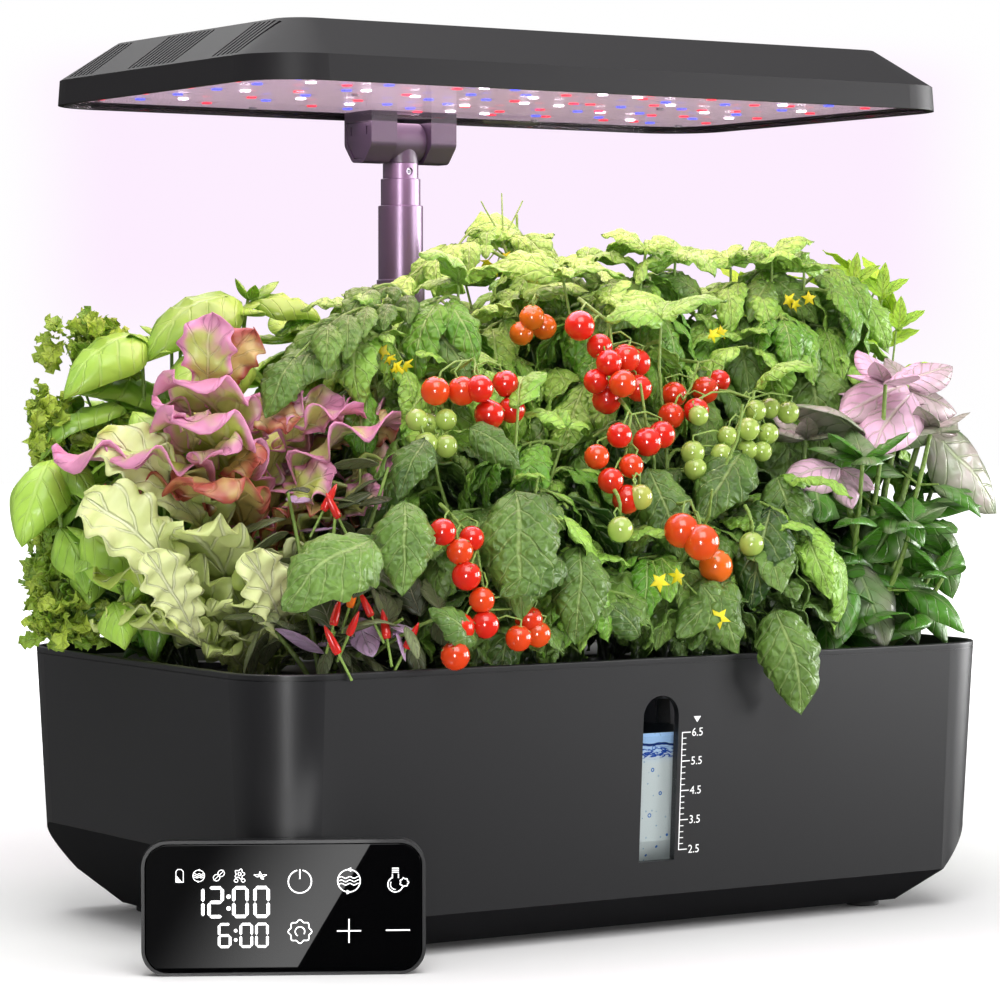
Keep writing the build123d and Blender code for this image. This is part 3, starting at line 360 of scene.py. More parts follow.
def moulded_abs(name, colour, roughness, size=0.7, depth=0.02, specular=0.5):
    """Injection-moulded ABS: a satin skin whose fine spark-eroded grain softens every highlight."""
    made, tree, shader = finish(name, colour, Roughness=roughness, IOR=1.54, Specular_IOR_Level=specular)
    grain(tree, shader, size, depth)
    return made


def anodised_aluminium_painted_lamplight(name, colour):
    """Drawn and anodised aluminium tube: a soft metallic sheen with faint lines along it, its mauve colour
    painted lamplight.
    """
    made, tree, shader = finish(name, colour, Metallic=0.75, Roughness=0.34)
    place = add(tree, "ShaderNodeTexCoord").outputs["Object"]
    squeezed = add(tree, "ShaderNodeMapping", {"Vector": place, "Scale": (1.0, 1.0, 0.02)})
    lines = add(tree, NOISE, {"Vector": squeezed, "Scale": 1 / (0.5 * MM)})
    rough = add(tree, RANGE, {"Value": lines, "To Min": 0.28, "To Max": 0.42})
    link(tree, rough, shader.inputs["Roughness"])
    return made


def clear_plastic(name, colour, alpha):
    """Clear sheet: what is behind it shows through, with a sharp gloss on top."""
    return finish(name, colour, Roughness=0.06, IOR=1.49, Alpha=alpha)[0]


def clear_sheet(name, straight, low):
    """A polished clear acrylic sheet: seen through from in front, and half a mirror at a low angle."""
    made, tree, shader = finish(name, "#fff4fd", Metallic=1.0, Roughness=0.03)
    facing = add(tree, "ShaderNodeLayerWeight", {"Blend": 0.5}).outputs["Facing"]
    steep = add(tree, MATH, (facing, 5.0), operation="POWER")
    shine = add(tree, MATH, (steep, low - straight, straight), operation="MULTIPLY_ADD")
    link(tree, shine, shader.inputs["Alpha"])
    return made


def rubber(name, colour):
    """Moulded rubber: dull, with a faint powdery bloom."""
    made, tree, shader = finish(name, colour, Roughness=0.75)
    grain(tree, shader, 0.5, 0.02)
    return made


def glowing(name, colour, strength):
    """An LED's phosphor or a display's sign, lit."""
    return finish(name, colour, Roughness=0.4, Emission_Strength=strength, Emission_Color=colour)[0]


SILICONE = rubber("silicone_seal", "#3a3a3c")
FOOT_RUBBER = rubber("foot_rubber", "#18181a")
SCREW_STEEL = finish("zinc_plated_steel", "#b9bcc0", Metallic=1.0, Roughness=0.3)[0]
WASHER_NYLON = finish("nylon", "#d8d2c8", Roughness=0.5)[0]
# painted glow: the whole board's white mask glows pink, standing in for the LEDs' light spread over it
BOARD_MASK_PAINTED_GLOW = finish("white_solder_mask_painted_glow", "#d9bfd4", Roughness=0.35, Emission_Strength=0.55,
                    Emission_Color="#ecc9e6")[0]
BLACK_GLASS = finish("black_glass", "#050506", Roughness=0.05, IOR=1.52, Coat_Weight=0.5,
                     Coat_Roughness=0.02)[0]
FINISHES = ((moulded_abs("charcoal_abs", "#222224", 0.36), "tank_shell mast_base"),
            (moulded_abs("lamp_abs", "#1d1b1e", 0.5, specular=0.3), "lamp_housing"),
            (moulded_abs("hinge_abs", "#3a2f3e", 0.36), "hinge_neck hinge_bracket hinge_caps"),
            (moulded_abs("deck_abs", "#a9a3aa", 0.45), "planting_deck fill_cap"),
            (moulded_abs("pump_abs", "#1c1c1e", 0.5), "pump_body pump_grille power_inlet remote_board"),
            (moulded_abs("basket_polypropylene", "#8d868e", 0.5, 0.9, 0.03),
             " ".join(n for n in nodes if "basket" in n)),
            (moulded_abs("remote_abs", "#1a1a1c", 0.3), "remote_case"),
            (moulded_abs("junction_abs", "#3c3440", 0.4), "junction_plate"),
            # painted lamplight: the mast's mauve stands in for the grow lamp's pink and blue light on the
            # aluminium
            (anodised_aluminium_painted_lamplight("anodised_aluminium_painted_lamplight", "#7d6c80"),
             "mast_tube_outer mast_tube_lower mast_tube_upper mast_tube_top"),
            (clear_plastic("window_acrylic", "#20262a", 0.05), "level_window"),
            (clear_sheet("lamp_cover_acrylic", 0.03, 0.42), "lamp_cover"),
            (SILICONE, "window_seal riser_hose"), (FOOT_RUBBER, "rubber_feet pump_suction_cups"),
            (SCREW_STEEL, "mast_base_screws hinge_pin neck_screw lamp_screws remote_cell"),
            (WASHER_NYLON, "friction_washers"), (BOARD_MASK_PAINTED_GLOW, "led_board"), (BLACK_GLASS, "remote_glass"),
            (glowing("white_led", "#fff4ff", 9.0), "led_chips_white"),
            (glowing("red_led", "#ff3a4e", 2.4), "led_chips_red"),
            (glowing("blue_led", "#5560ff", 2.6), "led_chips_blue"))
for material, names in FINISHES:
    for name in names.split():
        for place in nodes[name].material_slots:
            place.material = material


# ---------------------------------------------------------------- leaves, fruit and flowers


def leaf_copy(name, curl, width, widest, cup=0.0, teeth=0, bite=0.0, ruffle=0.0, waves=3, puff=0.0, ribs=5,
              tip=0.8, rows=12, columns=6):
    """A leaf one unit long along +Y, its face up: curl bends it down, in degrees, cup lowers its edges,
    teeth are cut bite deep, ruffle waves its edge, and puff swells it between its ribs."""
    power = math.log(0.5) / math.log(widest)
    bend = math.radians(curl)
    points, corners = [], []
    for i in range(rows + 1):
        t = i / rows
        angle = bend * t
        y, z = math.sin(angle) / bend, (math.cos(angle) - 1) / bend
        half = width / 2 * max(math.sin(math.pi * t**power), 0.0) ** tip + 0.006 * (1 - t)
        half *= 1 - bite * (0.5 + 0.5 * math.cos(2 * math.pi * t * teeth))
        for j in range(columns + 1):
            s = 2 * j / columns - 1
            a = abs(s)
            wave = ruffle * a**1.6 * math.sin(2 * math.pi * (waves * t + 0.13 * (1 + math.copysign(1, s))))
            swell = (puff * abs(math.sin(math.pi * ribs * (t - 0.3 * a)))
                     * math.sin(math.pi * min(a * 1.1, 1)) * half)
            lift = -cup * half * a * a + wave + swell
            across = half * s * (1 - 0.25 * abs(cup) * a)
            points.append((across, y + lift * math.sin(angle), z + lift * math.cos(angle)))
            corners.append(((s + 1) / 2, t))
    wide = columns + 1
    faces = [(i * wide + j, i * wide + j + 1, (i + 1) * wide + j + 1, (i + 1) * wide + j) for i in range(rows)
             for j in range(columns)]
    mesh = bpy.data.meshes.new(name)
    mesh.from_pydata(points, [], faces)
    layer = mesh.uv_layers.new(name="UVMap")
    for loop in mesh.loops:
        layer.data[loop.index].uv = corners[loop.vertex_index]
    return solid_copy(name, mesh, LEAF_THICKNESS)


def solid_copy(name, mesh, thickness=None):
    """Keeps a mesh as an object to copy from, with its sheet given a thickness."""
    form = bmesh.new()
    form.from_mesh(mesh)
    bmesh.ops.remove_doubles(form, verts=form.verts, dist=1e-4)
    bmesh.ops.recalc_face_normals(form, faces=form.faces)
    if thickness:
        bmesh.ops.solidify(form, geom=form.faces[:], thickness=thickness)
    form.to_mesh(mesh)
    form.free()
    mesh.polygons.foreach_set("use_smooth", [True] * len(mesh.polygons))
    made = bpy.data.objects.new(name, mesh)
    scene.collection.objects.link(made)
    TO_COPY.append(made)
    return made


def turned_copy(name, profile, sides=14):
    """A round form about +Z from (radius, height) pairs, closed at both ends."""
    points, faces = [], []
    for radius, height in profile:
        for n in range(sides):
            angle = 2 * math.pi * n / sides
            points.append((radius * math.cos(angle), radius * math.sin(angle), height))
    for row in range(len(profile) - 1):
        for n in range(sides):
            m = (n + 1) % sides
            faces.append((row * sides + n, row * sides + m, (row + 1) * sides + m, (row + 1) * sides + n))
    faces.append(tuple(range(sides))[::-1])
    faces.append(tuple(range((len(profile) - 1) * sides, len(profile) * sides)))
    mesh = bpy.data.meshes.new(name)
    mesh.from_pydata(points, [], faces)
    return solid_copy(name, mesh)


def star_copy(name, arms, inner, droop, thickness):
    """A flat star of unit reach with its arms bent down: a calyx or a flower's petals."""
    points, faces = [(0, 0, 0)], []
    for n in range(arms):
        for share, reach in ((-0.5, inner), (0.0, 1.0)):
            angle = 2 * math.pi * (n + share) / arms
            points.append((reach * math.cos(angle), reach * math.sin(angle), -droop * reach * reach))
    count = 2 * arms
    for n in range(arms):
        low, tip, high = 1 + 2 * n, 2 + 2 * n, 1 + (2 * n + 2) % count
        faces += [(0, low, tip), (0, tip, high)]
    mesh = bpy.data.meshes.new(name)
    mesh.from_pydata(points, [], faces)
    return solid_copy(name, mesh, thickness)


def leaf_finish(name, shadow, light, vein, ribs, edge=None, edge_from=0.55, pucker=2.5, gloss=0.42, show=0.55,
                quilt=0.0):
    """A living leaf: its colour runs from shadow to light, leaf by leaf and in patches. A midrib and ribs
    are sunk into it and tinted as strongly as show says. Between them the skin is puckered, and quilted where
    quilt gives the size of its pads. On some the colour turns to another at the edge."""
    made, tree, shader = finish(name, light, Roughness=gloss, IOR=1.45)
    uv = add(tree, "ShaderNodeUVMap", uv_map="UVMap")
    split = add(tree, "ShaderNodeSeparateXYZ", (uv,))
    wide = add(tree, MATH, (split.outputs["X"], 2.0, -1.0), operation="MULTIPLY_ADD")
    side = add(tree, MATH, (wide,), operation="ABSOLUTE")
    middle = add(tree, RANGE, (side, 0.02, 0.09, 1.0, 0.0), interpolation_type=SMOOTH)
    slant = add(tree, MATH, (side, -0.3, split.outputs["Y"]), operation="MULTIPLY_ADD")
    count = add(tree, MATH, (slant, float(ribs)), operation="MULTIPLY")
    wave = add(tree, MATH, (count, 0.5), operation="PINGPONG")
    lines = add(tree, RANGE, (wave, 0.02, 0.1, 0.75, 0.0), interpolation_type=SMOOTH)
    veins = add(tree, MATH, (middle, lines), operation="MAXIMUM")
    shade = add(tree, "ShaderNodeAttribute", attribute_name="shade")
    place = add(tree, "ShaderNodeTexCoord").outputs["Object"]
    patch = add(tree, NOISE, {"Vector": place, "Scale": 1 / (14 * MM), "Detail": 2.0})
    tone = add(tree, MATH, (patch, 0.9, -0.45), operation="MULTIPLY_ADD")
    level = add(tree, MATH, (tone, shade.outputs["Fac"]), operation="ADD", use_clamp=True)
    body = add(tree, MIX, {0: level, 6: rgb(shadow), 7: rgb(light)}, data_type="RGBA")
    amount = add(tree, MATH, (veins, show), operation="MULTIPLY")
    colour = add(tree, MIX, {0: amount, 6: body, 7: rgb(vein)}, data_type="RGBA")
    if edge:
        blotch = add(tree, MATH, (patch, 0.9, -0.45), operation="MULTIPLY_ADD")
        reach = add(tree, MATH, (side, split.outputs["Y"]), operation="MAXIMUM")
        margin = add(tree, MATH, (reach, blotch), operation="ADD")
        mask = add(tree, RANGE, (margin, edge_from, edge_from + 0.3), interpolation_type=SMOOTH)
        colour = add(tree, MIX, {0: mask, 6: colour, 7: rgb(edge)}, data_type="RGBA")
    link(tree, colour, shader.inputs["Base Color"])
    skin = add(tree, "ShaderNodeTexVoronoi", {"Vector": place, "Scale": 1 / (pucker * MM)},
               feature="SMOOTH_F1")
    height = add(tree, MATH, (veins, -2.2 * show, skin.outputs["Distance"]), operation="MULTIPLY_ADD")
    if quilt:
        net = add(tree, "ShaderNodeTexVoronoi", {"Vector": place, "Scale": 1 / (quilt * MM)},
                  feature="DISTANCE_TO_EDGE")
        pad = add(tree, RANGE, (net, 0.0, 0.35, 0.0, 1.0), interpolation_type=SMOOTH)
        height = add(tree, MATH, (height, pad), operation="ADD")
    bump = add(tree, "ShaderNodeBump", {"Height": height, "Distance": 0.8 * MM, "Strength": 1.0})
    link(tree, bump, shader.inputs["Normal"])
    return made


def skin_finish(name, young, ripe, gloss, coat):
    """A fruit's waxy skin, its colour set by how ripe each fruit is."""
    made, tree, shader = finish(name, ripe, Roughness=gloss, IOR=1.45, Coat_Weight=coat, Coat_Roughness=0.08)
    shade = add(tree, "ShaderNodeAttribute", attribute_name="shade").outputs["Fac"]
    turning = add(tree, RANGE, (shade, 0.2, 0.5))
    ripening = add(tree, RANGE, (shade, 0.55, 0.95))
    colour = add(tree, MIX, {0: turning, 6: rgb(young), 7: rgb("#ee7a1c")}, data_type="RGBA")
    colour = add(tree, MIX, {0: ripening, 6: colour, 7: rgb(ripe)}, data_type="RGBA")
    link(tree, colour, shader.inputs["Base Color"])
    return made


TO_COPY = []
LEAF_THICKNESS = 0.009  # of the leaf's length
BASIL_GREEN = leaf_finish("basil_leaf", "#4a8c1c", "#b2dc58", "#d2ec9a", 6, pucker=7.0, gloss=0.3, show=0.22)
# painted lamplight: the basil's upper leaves run from green to the grow lamp's pink, painted into their
# colour
BASIL_PAINTED_LAMPLIGHT = leaf_finish("basil_leaf_painted_lamplight", "#4f8a26", "#edc2da", "#b9cf8c", 6, None, 1.0, 5.0, 0.34,
                           0.35)
TOMATO_GREEN = leaf_finish("tomato_leaf", "#2f5219", "#7fa548", "#b9cf82", 6, pucker=2.6, gloss=0.44,
                           show=0.4, quilt=5.5)
TOMATO_YOUNG = leaf_finish("young_tomato_leaf", "#5f9a26", "#aad85a", "#d2e89a", 6, pucker=2.6, gloss=0.44,
                           show=0.4, quilt=4.5)
LETTUCE_GREEN = leaf_finish("green_lettuce_leaf", "#a9c43c", "#e9f0ae", "#f4f6d6", 5, "#d4e470", 0.95, 5.0,
                            0.42)
LETTUCE_RED = leaf_finish("red_lettuce_leaf", "#b4c452", "#e2dc98", "#f0ecc4", 5, "#da8fb2", 0.62, 5.0, 0.38,
                          0.3)
LETTUCE_RUST = leaf_finish("rusty_lettuce_leaf", "#b39a4a", "#dcc488", "#e9d8a8", 5, "#a85040", 0.66, 5.0,
                           0.38, 0.3)
PARSLEY_GREEN = leaf_finish("curly_parsley_leaf", "#76a028", "#c2d84e", "#cbdc72", 3, pucker=2.0, gloss=0.5,
                            show=0.3)
PEPPER_DARK = leaf_finish("dark_pepper_leaf", "#3f4a2a", "#7f8a5c", "#a9a888", 5, "#c79ac8", 1.1, 4.0, 0.45)
PEPPER_LILAC = leaf_finish("lilac_pepper_leaf", "#c495c6", "#ecd0ee", "#f4e2f4", 5, pucker=4.0, gloss=0.5)
MINT_GREEN = leaf_finish("mint_leaf", "#7ab41e", "#c4ee3e", "#e6f68e", 5, pucker=3.0, gloss=0.42, show=0.3)
STEM_GREEN = leaf_finish("green_stem", "#86a64a", "#c0d67c", "#c0d67c", 1, pucker=2.0, gloss=0.5)
TOMATO_SKIN = skin_finish("tomato_skin", "#a9c25c", "#dc2413", 0.2, 0.7)
PEPPER_SKIN = skin_finish("pepper_skin", "#e88a3a", "#d8231c", 0.25, 0.6)
FLOWER_YELLOW = finish("yellow_petal", "#ffee1e", Roughness=0.55)[0]
PEAT = rubber("peat_sponge", "#3a2c22")

# outlines of the round forms, from foot to top: (radius, height)
sponge_side = [(0.2, 0.0), (0.244, 0.01), (0.245, 0.5), (0.24, 0.98), (0.215, 1.0), (0.09, 0.985),
               (0.04, 0.93)]
round_side = [(math.sin(math.pi * n / 9), -math.cos(math.pi * n / 9)) for n in range(1, 9)]
pepper_side = [(0.04, 0.0), (0.13, 0.03), (0.15, 0.16), (0.14, 0.4), (0.11, 0.68), (0.06, 0.88), (0.015, 1.0)]
LEAF_KINDS = {  # material, curl in degrees, width, where it is widest, cup and so on, as leaf_copy takes them
    "basil_arched": (BASIL_GREEN, 95, 0.64, 0.42, 0.6, 0, 0, 0, 3, 0.16, 5),
    "basil_open": (BASIL_GREEN, 40, 0.68, 0.44, 0.4, 0, 0, 0, 3, 0.16, 5),
    "tinted_arched": (BASIL_PAINTED_LAMPLIGHT, 80, 0.6, 0.42, 0.5, 0, 0, 0, 3, 0.14, 5),
    "tinted_open": (BASIL_PAINTED_LAMPLIGHT, 30, 0.64, 0.44, 0.35, 0, 0, 0, 3, 0.14, 5),
    "tomato_hanging": (TOMATO_GREEN, 70, 0.66, 0.38, 0.35, 6, 0.12, 0.035, 3, 0.24, 6, 0.8, 18, 6),
    "tomato_open": (TOMATO_GREEN, 42, 0.66, 0.4, -0.15, 6, 0.14, 0.045, 3, 0.24, 6, 0.8, 18, 6),
    "tomato_young": (TOMATO_YOUNG, 85, 0.58, 0.38, 0.25, 4, 0.18, 0.035, 3, 0.18, 5, 0.8, 14, 6),
    "lettuce_frill": (LETTUCE_GREEN, 60, 0.48, 0.7, -0.25, 7, 0.14, 0.055, 6, 0.14, 6, 0.5, 44, 8),
    "lettuce_red": (LETTUCE_RED, 75, 0.62, 0.72, -0.1, 5, 0.22, 0.075, 4, 0.14, 5, 0.5, 40, 10),
    "lettuce_rust": (LETTUCE_RUST, 85, 0.58, 0.72, 0.05, 5, 0.22, 0.07, 4, 0.14, 5, 0.5, 40, 10),
    "parsley_curl": (PARSLEY_GREEN, 60, 0.9, 0.65, -0.5, 4, 0.35, 0.16, 2, 0.1, 3, 0.6, 8, 6),
    "pepper_leaf": (PEPPER_DARK, 45, 0.5, 0.42, 0.2, 0, 0, 0, 3, 0.1, 5),
    "lilac_leaf": (PEPPER_LILAC, 20, 0.62, 0.45, 0.15, 0, 0, 0, 3, 0.1, 5),
    "mint_leaf": (MINT_GREEN, 30, 0.4, 0.38, -0.2, 6, 0.06, 0.02, 3, 0.12, 5),
}
KINDS = {name: (leaf_copy(name, *form), green) for name, (green, *form) in LEAF_KINDS.items()}
CURLS = {name: form[1] for name, form in LEAF_KINDS.items()}
KINDS["tomato"] = turned_copy("tomato", round_side, 18), TOMATO_SKIN
KINDS["pepper"] = turned_copy("pepper", pepper_side, 12), PEPPER_SKIN
KINDS["sponge"] = turned_copy("sponge", sponge_side, 24), PEAT
KINDS["calyx"] = star_copy("calyx", 5, 0.25, 0.35, 0.06), STEM_GREEN
KINDS["flower"] = star_copy("flower", 5, 0.46, -0.4, 0.08), FLOWER_YELLOW


# ---------------------------------------------------------------- how plants grow

LOW, HIGH = [corner / MM for corner in cad_corners]
RIM_LOW, RIM_HIGH = [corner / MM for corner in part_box("tank_shell")]
mast_low, mast_high = [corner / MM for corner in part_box("mast_tube_outer")]
cap_low, cap_high = [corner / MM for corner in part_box("fill_cap")]
MAST, CAP = (mast_low + mast_high) / 2, (cap_low + cap_high) / 2
MAST_CLEAR = 28.0
CAP_ROOM = (cap_high - cap_low) / 2 + P((9.0, 9.0, 12.0))
FOLIAGE_TOP = 304.0
RIM = RIM_HIGH.z
EDGE = 6.0
OVER_RIM, IN_TANK = 3.0, -8.0  # how low leaves hang, from the rim, past the tank's edge and inside it
TANGLE = 16.0  # how far leaves reach into a neighbour's room
TOWARDS_VIEW = P((-0.544, -0.838, 0.03))
TO_VIEW_UP = (TOWARDS_VIEW + UP * 0.7).normalized()
SLANT = 0.65  # of y, taken from x: where a place is from left to right in the view
LEFT_END, RIGHT_END, RIGHT_BASIL_END = -249, 243, 266
RIGHT_BASIL_BAND = (170, 222)  # the heights at which the right-hand basil reaches further right
FRUIT_CLEAR, FRUIT_DEPTH = 9, 3  # leaves keep this far beside fruit, and start this far behind it
IN_VIEW = []  # fruit that leaves don't hang in front of: place and radius


def has_room(spot, cell):
    """True where a leaf may be: in its room, under the lamp, off mast, cap and rim, and not before fruit."""
    x, y, z = spot
    if not (cell[0] < x < cell[1] and cell[2] < y < cell[3]):
        return False
    aside_in_view = x - SLANT * y
    right_end = RIGHT_BASIL_END if RIGHT_BASIL_BAND[0] < z < RIGHT_BASIL_BAND[1] else RIGHT_END
    if not LEFT_END <= aside_in_view <= right_end:
        return False
    if z > FOLIAGE_TOP or math.hypot(x - MAST.x, y - MAST.y) < MAST_CLEAR:
        return False
    if all(abs(a - b) < c for a, b, c in zip(spot, CAP, CAP_ROOM)):
        return False
    over_rim = abs(x) > RIM_HIGH.x - EDGE or abs(y) > RIM_HIGH.y - EDGE
    if z < RIM + (OVER_RIM if over_rim else IN_TANK):
        return False
    for fruit, radius in IN_VIEW:
        gap = spot - fruit
        ahead = gap.dot(TOWARDS_VIEW)
        if ahead > -FRUIT_DEPTH and (gap - TOWARDS_VIEW * ahead).length < radius + FRUIT_CLEAR:
            return False
    return True


def bent(spot, out, up, share, size, curl):
    """Where a leaf's midrib is after a share of its length, when it curls down."""
    whole = math.radians(max(curl, 1))
    angle = whole * share
    return spot + (out * math.sin(angle) - up * (1 - math.cos(angle))) * size / whole


def grow(start, way, length, lift, steps=8):
    """Points along a shoot that starts one way and turns up, or down where lift is negative."""
    points, way = [start], way.normalized()
    for _ in range(steps):
        way = (way + UP * lift / steps).normalized()
        points.append(points[-1] + way * length / steps)
    return points


def arch(start, end, steps, bow):
    """Points from one place to another along a line that bows out in the middle."""
    return [start + (end - start) * (n / steps) + bow * math.sin(math.pi * n / steps)
            for n in range(steps + 1)]


def along(points, share):
    """The place and the way at a share of a path."""
    spot = share * (len(points) - 1)
    n = min(int(spot), len(points) - 2)
    way = points[n + 1] - points[n]
    return points[n] + way * (spot - n), way.normalized()


def aside(way, angle):
    """A level way, turned by an angle in degrees about the shoot's own way."""
    base = way.cross(UP)
    base = base.normalized() if base.length > 0.05 else Vector((1, 0, 0))
    return (Matrix.Rotation(math.radians(angle), 3, way) @ base).normalized()


def level(angle):
    """A level way at an angle in degrees from +X."""
    return Vector((math.cos(math.radians(angle)), math.sin(math.radians(angle)), 0))


SPONGE_SEAT = 1.45  # above the basket's foot
SPONGE_HEIGHT = 43.9
FOOT_DEPTH = 8  # of the stems' feet under the basket's rim
WOBBLE, WOBBLE_SIZE = 6, 30  # how far the smooth field bends leaves, and the size of its waves
FRONT_END, SIDE_GAP, BACK_GAP = -128, 2, 3  # the front of the front rooms, and the gaps to the CAD box


class Plant:
    """What grows in one pod: its shoots, and the leaves and fruit on them."""

    def __init__(self, pod):
        self.pod, self.draw = pod, random.Random(int(pod))
        low, high = [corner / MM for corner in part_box(f"basket_{pod}")]
        self.foot = P(((low.x + high.x) / 2, (low.y + high.y) / 2, high.z - FOOT_DEPTH))
        west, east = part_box("basket_11")[0].x / MM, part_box("basket_21")[0].x / MM
        south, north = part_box("basket_11")[0].y / MM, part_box("basket_12")[0].y / MM
        half_x, half_y = (east - west) / 2 + TANGLE, (north - south) / 2 + TANGLE
        column, row = pod
        self.cell = (LOW.x + SIDE_GAP if column == "1" else self.foot.x - half_x,
                     HIGH.x - SIDE_GAP if column == "4" else self.foot.x + half_x,
                     FRONT_END if row == "1" else self.foot.y - half_y,
                     HIGH.y - BACK_GAP if row == "3" else self.foot.y + half_y)
        self.shoots, self.copies = [], {}
        self.put("sponge", P((self.foot.x, self.foot.y, low.z + SPONGE_SEAT)), level(0), UP, SPONGE_HEIGHT,
                 0.5)

    def shoot(self, points, first, last):
        """A round shoot along places, from one radius to another."""
        self.shoots.append(([P(point) for point in points], first, last))

    def put(self, kind, spot, way, up, size, shade):
        """A copy that points one way from its place, its face up; shade picks its colour, from 0 to 1."""
        out = way.normalized()
        across = out.cross(up)
        across = across.normalized() if across.length > 0.05 else out.orthogonal().normalized()
        turn = Matrix((across, out, across.cross(out))).transposed()
        self.copies.setdefault(kind, []).append((spot, turn, size, min(max(shade, 0), 1)))

    def leaf(self, kind, spot, way, size, shade, roll=0.0):
        """A leaf where it has room, smaller where it has little."""
        out = way.normalized()
        up = Matrix.Rotation(math.radians(roll), 3, out) @ UP
        up = (up - out * up.dot(out)).normalized()
        for share in (1.0, 0.8, 0.62):
            if all(has_room(bent(spot, out, up, s, size * share, CURLS[kind]), self.cell)
                   for s in (0.4, 0.75, 1.0)):
                self.put(kind, spot, out, up, size * share, shade)
                return True
        return False

    def leaf_to(self, kind, spot, tip, shade, face=TO_VIEW_UP):
        """A leaf that reaches from a place to its tip, its face turned towards a way."""
        spot = P(spot)
        chord = P(tip) - spot
        half = math.radians(CURLS[kind]) / 2
        across = chord.cross(face).normalized()
        out = Matrix.Rotation(half, 3, across) @ chord.normalized()
        self.put(kind, spot, out, across.cross(out), chord.length * half / math.sin(half), shade)

    def build(self):
        """Makes the pieces and lets them stand for the pod's plain solid."""
        body = f"pod_{self.pod}"
        if self.shoots:
            mesh = paths_mesh("paths", self.shoots)
            made = grown(f"stems_{self.pod}", mesh, RODS, {"Sides": 6, "Finish": STEM_GREEN})
            piece(f"stems_{self.pod}", made, body, "leaf", f"plant_{self.pod}")
        for kind, copies in self.copies.items():
            source, material = KINDS[kind]
            name = f"{kind}_{self.pod}"
            made = grown(name, points_mesh(name, copies), COPIES,
                         {"Copy": source, "Wobble": WOBBLE * MM if kind in LEAF_KINDS else 0.0,
                          "Wobble Size": WOBBLE_SIZE * MM, "Finish": material})
            piece(name, made, body, "leaf", f"plant_{self.pod}")


SHADES = (0.15, 0.95)  # from a herb's lowest leaves to its tip
LAMPLIGHT_DEPTH = 30  # over which the right-hand basil's leaves turn from green to painted pink lamplight


def herbs(plant, targets, *values):
    """Several herb shoots of one habit."""
    for target in targets:
        herb(plant, P(target), *values)


def herb(plant, target, gap, size, kinds, thick=1.4, first=0.2, crown=0.5, lamplight_from=None):
    """One upright shoot to a target with pairs of leaves, each pair square to the last, and a tip rosette."""
    draw = plant.draw
    start = plant.foot + level(draw.uniform(0, 360)) * 5
    reach = target - start
    side = level(math.degrees(math.atan2(reach.y, reach.x)))
    points = arch(start, target, 8, side * 6)
    plant.shoot(points, thick, thick * 0.55)
    count = max(int(reach.length * (1 - first) / gap), 1)
    turn = draw.uniform(0, 180)
    for n in range(count):
        share = first + (1 - first) * n / count
        spot, way = along(points, share)
        for half in (0, 180):
            angle = turn + half + 90 * (n % 2) + draw.uniform(-20, 20)
            out = (aside(way, angle) + UP * draw.uniform(0.15, 0.6)).normalized()
            petiole = size * 0.16
            shade = SHADES[0] + (SHADES[1] - SHADES[0]) * share**1.5 + draw.uniform(-0.2, 0.25)
            # painted lamplight: here a leaf's shade rises with its height, so the upper leaves take the pink
            # of the lamp's light
            if lamplight_from:
                shade = (spot.z - lamplight_from) / LAMPLIGHT_DEPTH + draw.uniform(-0.25, 0.2)
            if plant.leaf(draw.choice(kinds), spot + out * petiole, out, size * draw.uniform(0.75, 1.1),
                          shade, draw.uniform(-25, 25)):
                plant.shoot([spot, spot + out * petiole * 0.5, spot + out * (petiole + 2)], 0.8, 0.5)
    spot, way = along(points, 1.0)
    for n in range(6):
        out = (aside(way, turn + 60 * n) + UP * (0.4 + 0.7 * (n % 2))).normalized()
        # painted lamplight on the tip rosette too
        shade = (spot.z - lamplight_from) / LAMPLIGHT_DEPTH if lamplight_from else SHADES[1]
        plant.leaf(kinds[-1], spot, out, size * crown * draw.uniform(0.75, 1.25),
                   shade + draw.uniform(-0.2, 0.1))


def tomato_leaf(plant, spot, way, length, size, young=False):
    """A compound leaf: a drooping rachis with pairs of leaflets and a larger one at its end."""
    draw = plant.draw
    rachis = grow(spot, way, length, -draw.uniform(0.6, 1.2))
    shade = draw.uniform(0.1, 0.9)
    kinds = ("tomato_young",) if young else ("tomato_hanging", "tomato_open")
    if not all(has_room(point, plant.cell) for point in rachis[4:]):
        return
    plant.shoot(rachis, 1.1, 0.6)
    end, onward = along(rachis, 1.0)
    plant.leaf(draw.choice(kinds), end, onward, size * draw.uniform(0.95, 1.2), shade, draw.uniform(-20, 20))
    for share, scale in ((0.45, 0.66), (0.78, 0.86)):
        place, onward = along(rachis, share)
        for side in (-1, 1):
            out = (aside(onward, 0) * side + onward * 0.5 - UP * draw.uniform(0.0, 0.4)).normalized()
            if plant.leaf(draw.choice(kinds), place + out * 4, out, size * scale * draw.uniform(0.85, 1.1),
                          shade + draw.uniform(-0.15, 0.15), draw.uniform(-25, 25)):
                plant.shoot([place, place + out * 2, place + out * 5], 0.7, 0.5)


GOLDEN_ANGLE = 137.5  # between one leaf and the next about a stem
YOUNG_FROM = 0.8  # the share of a stem past which its leaves are young


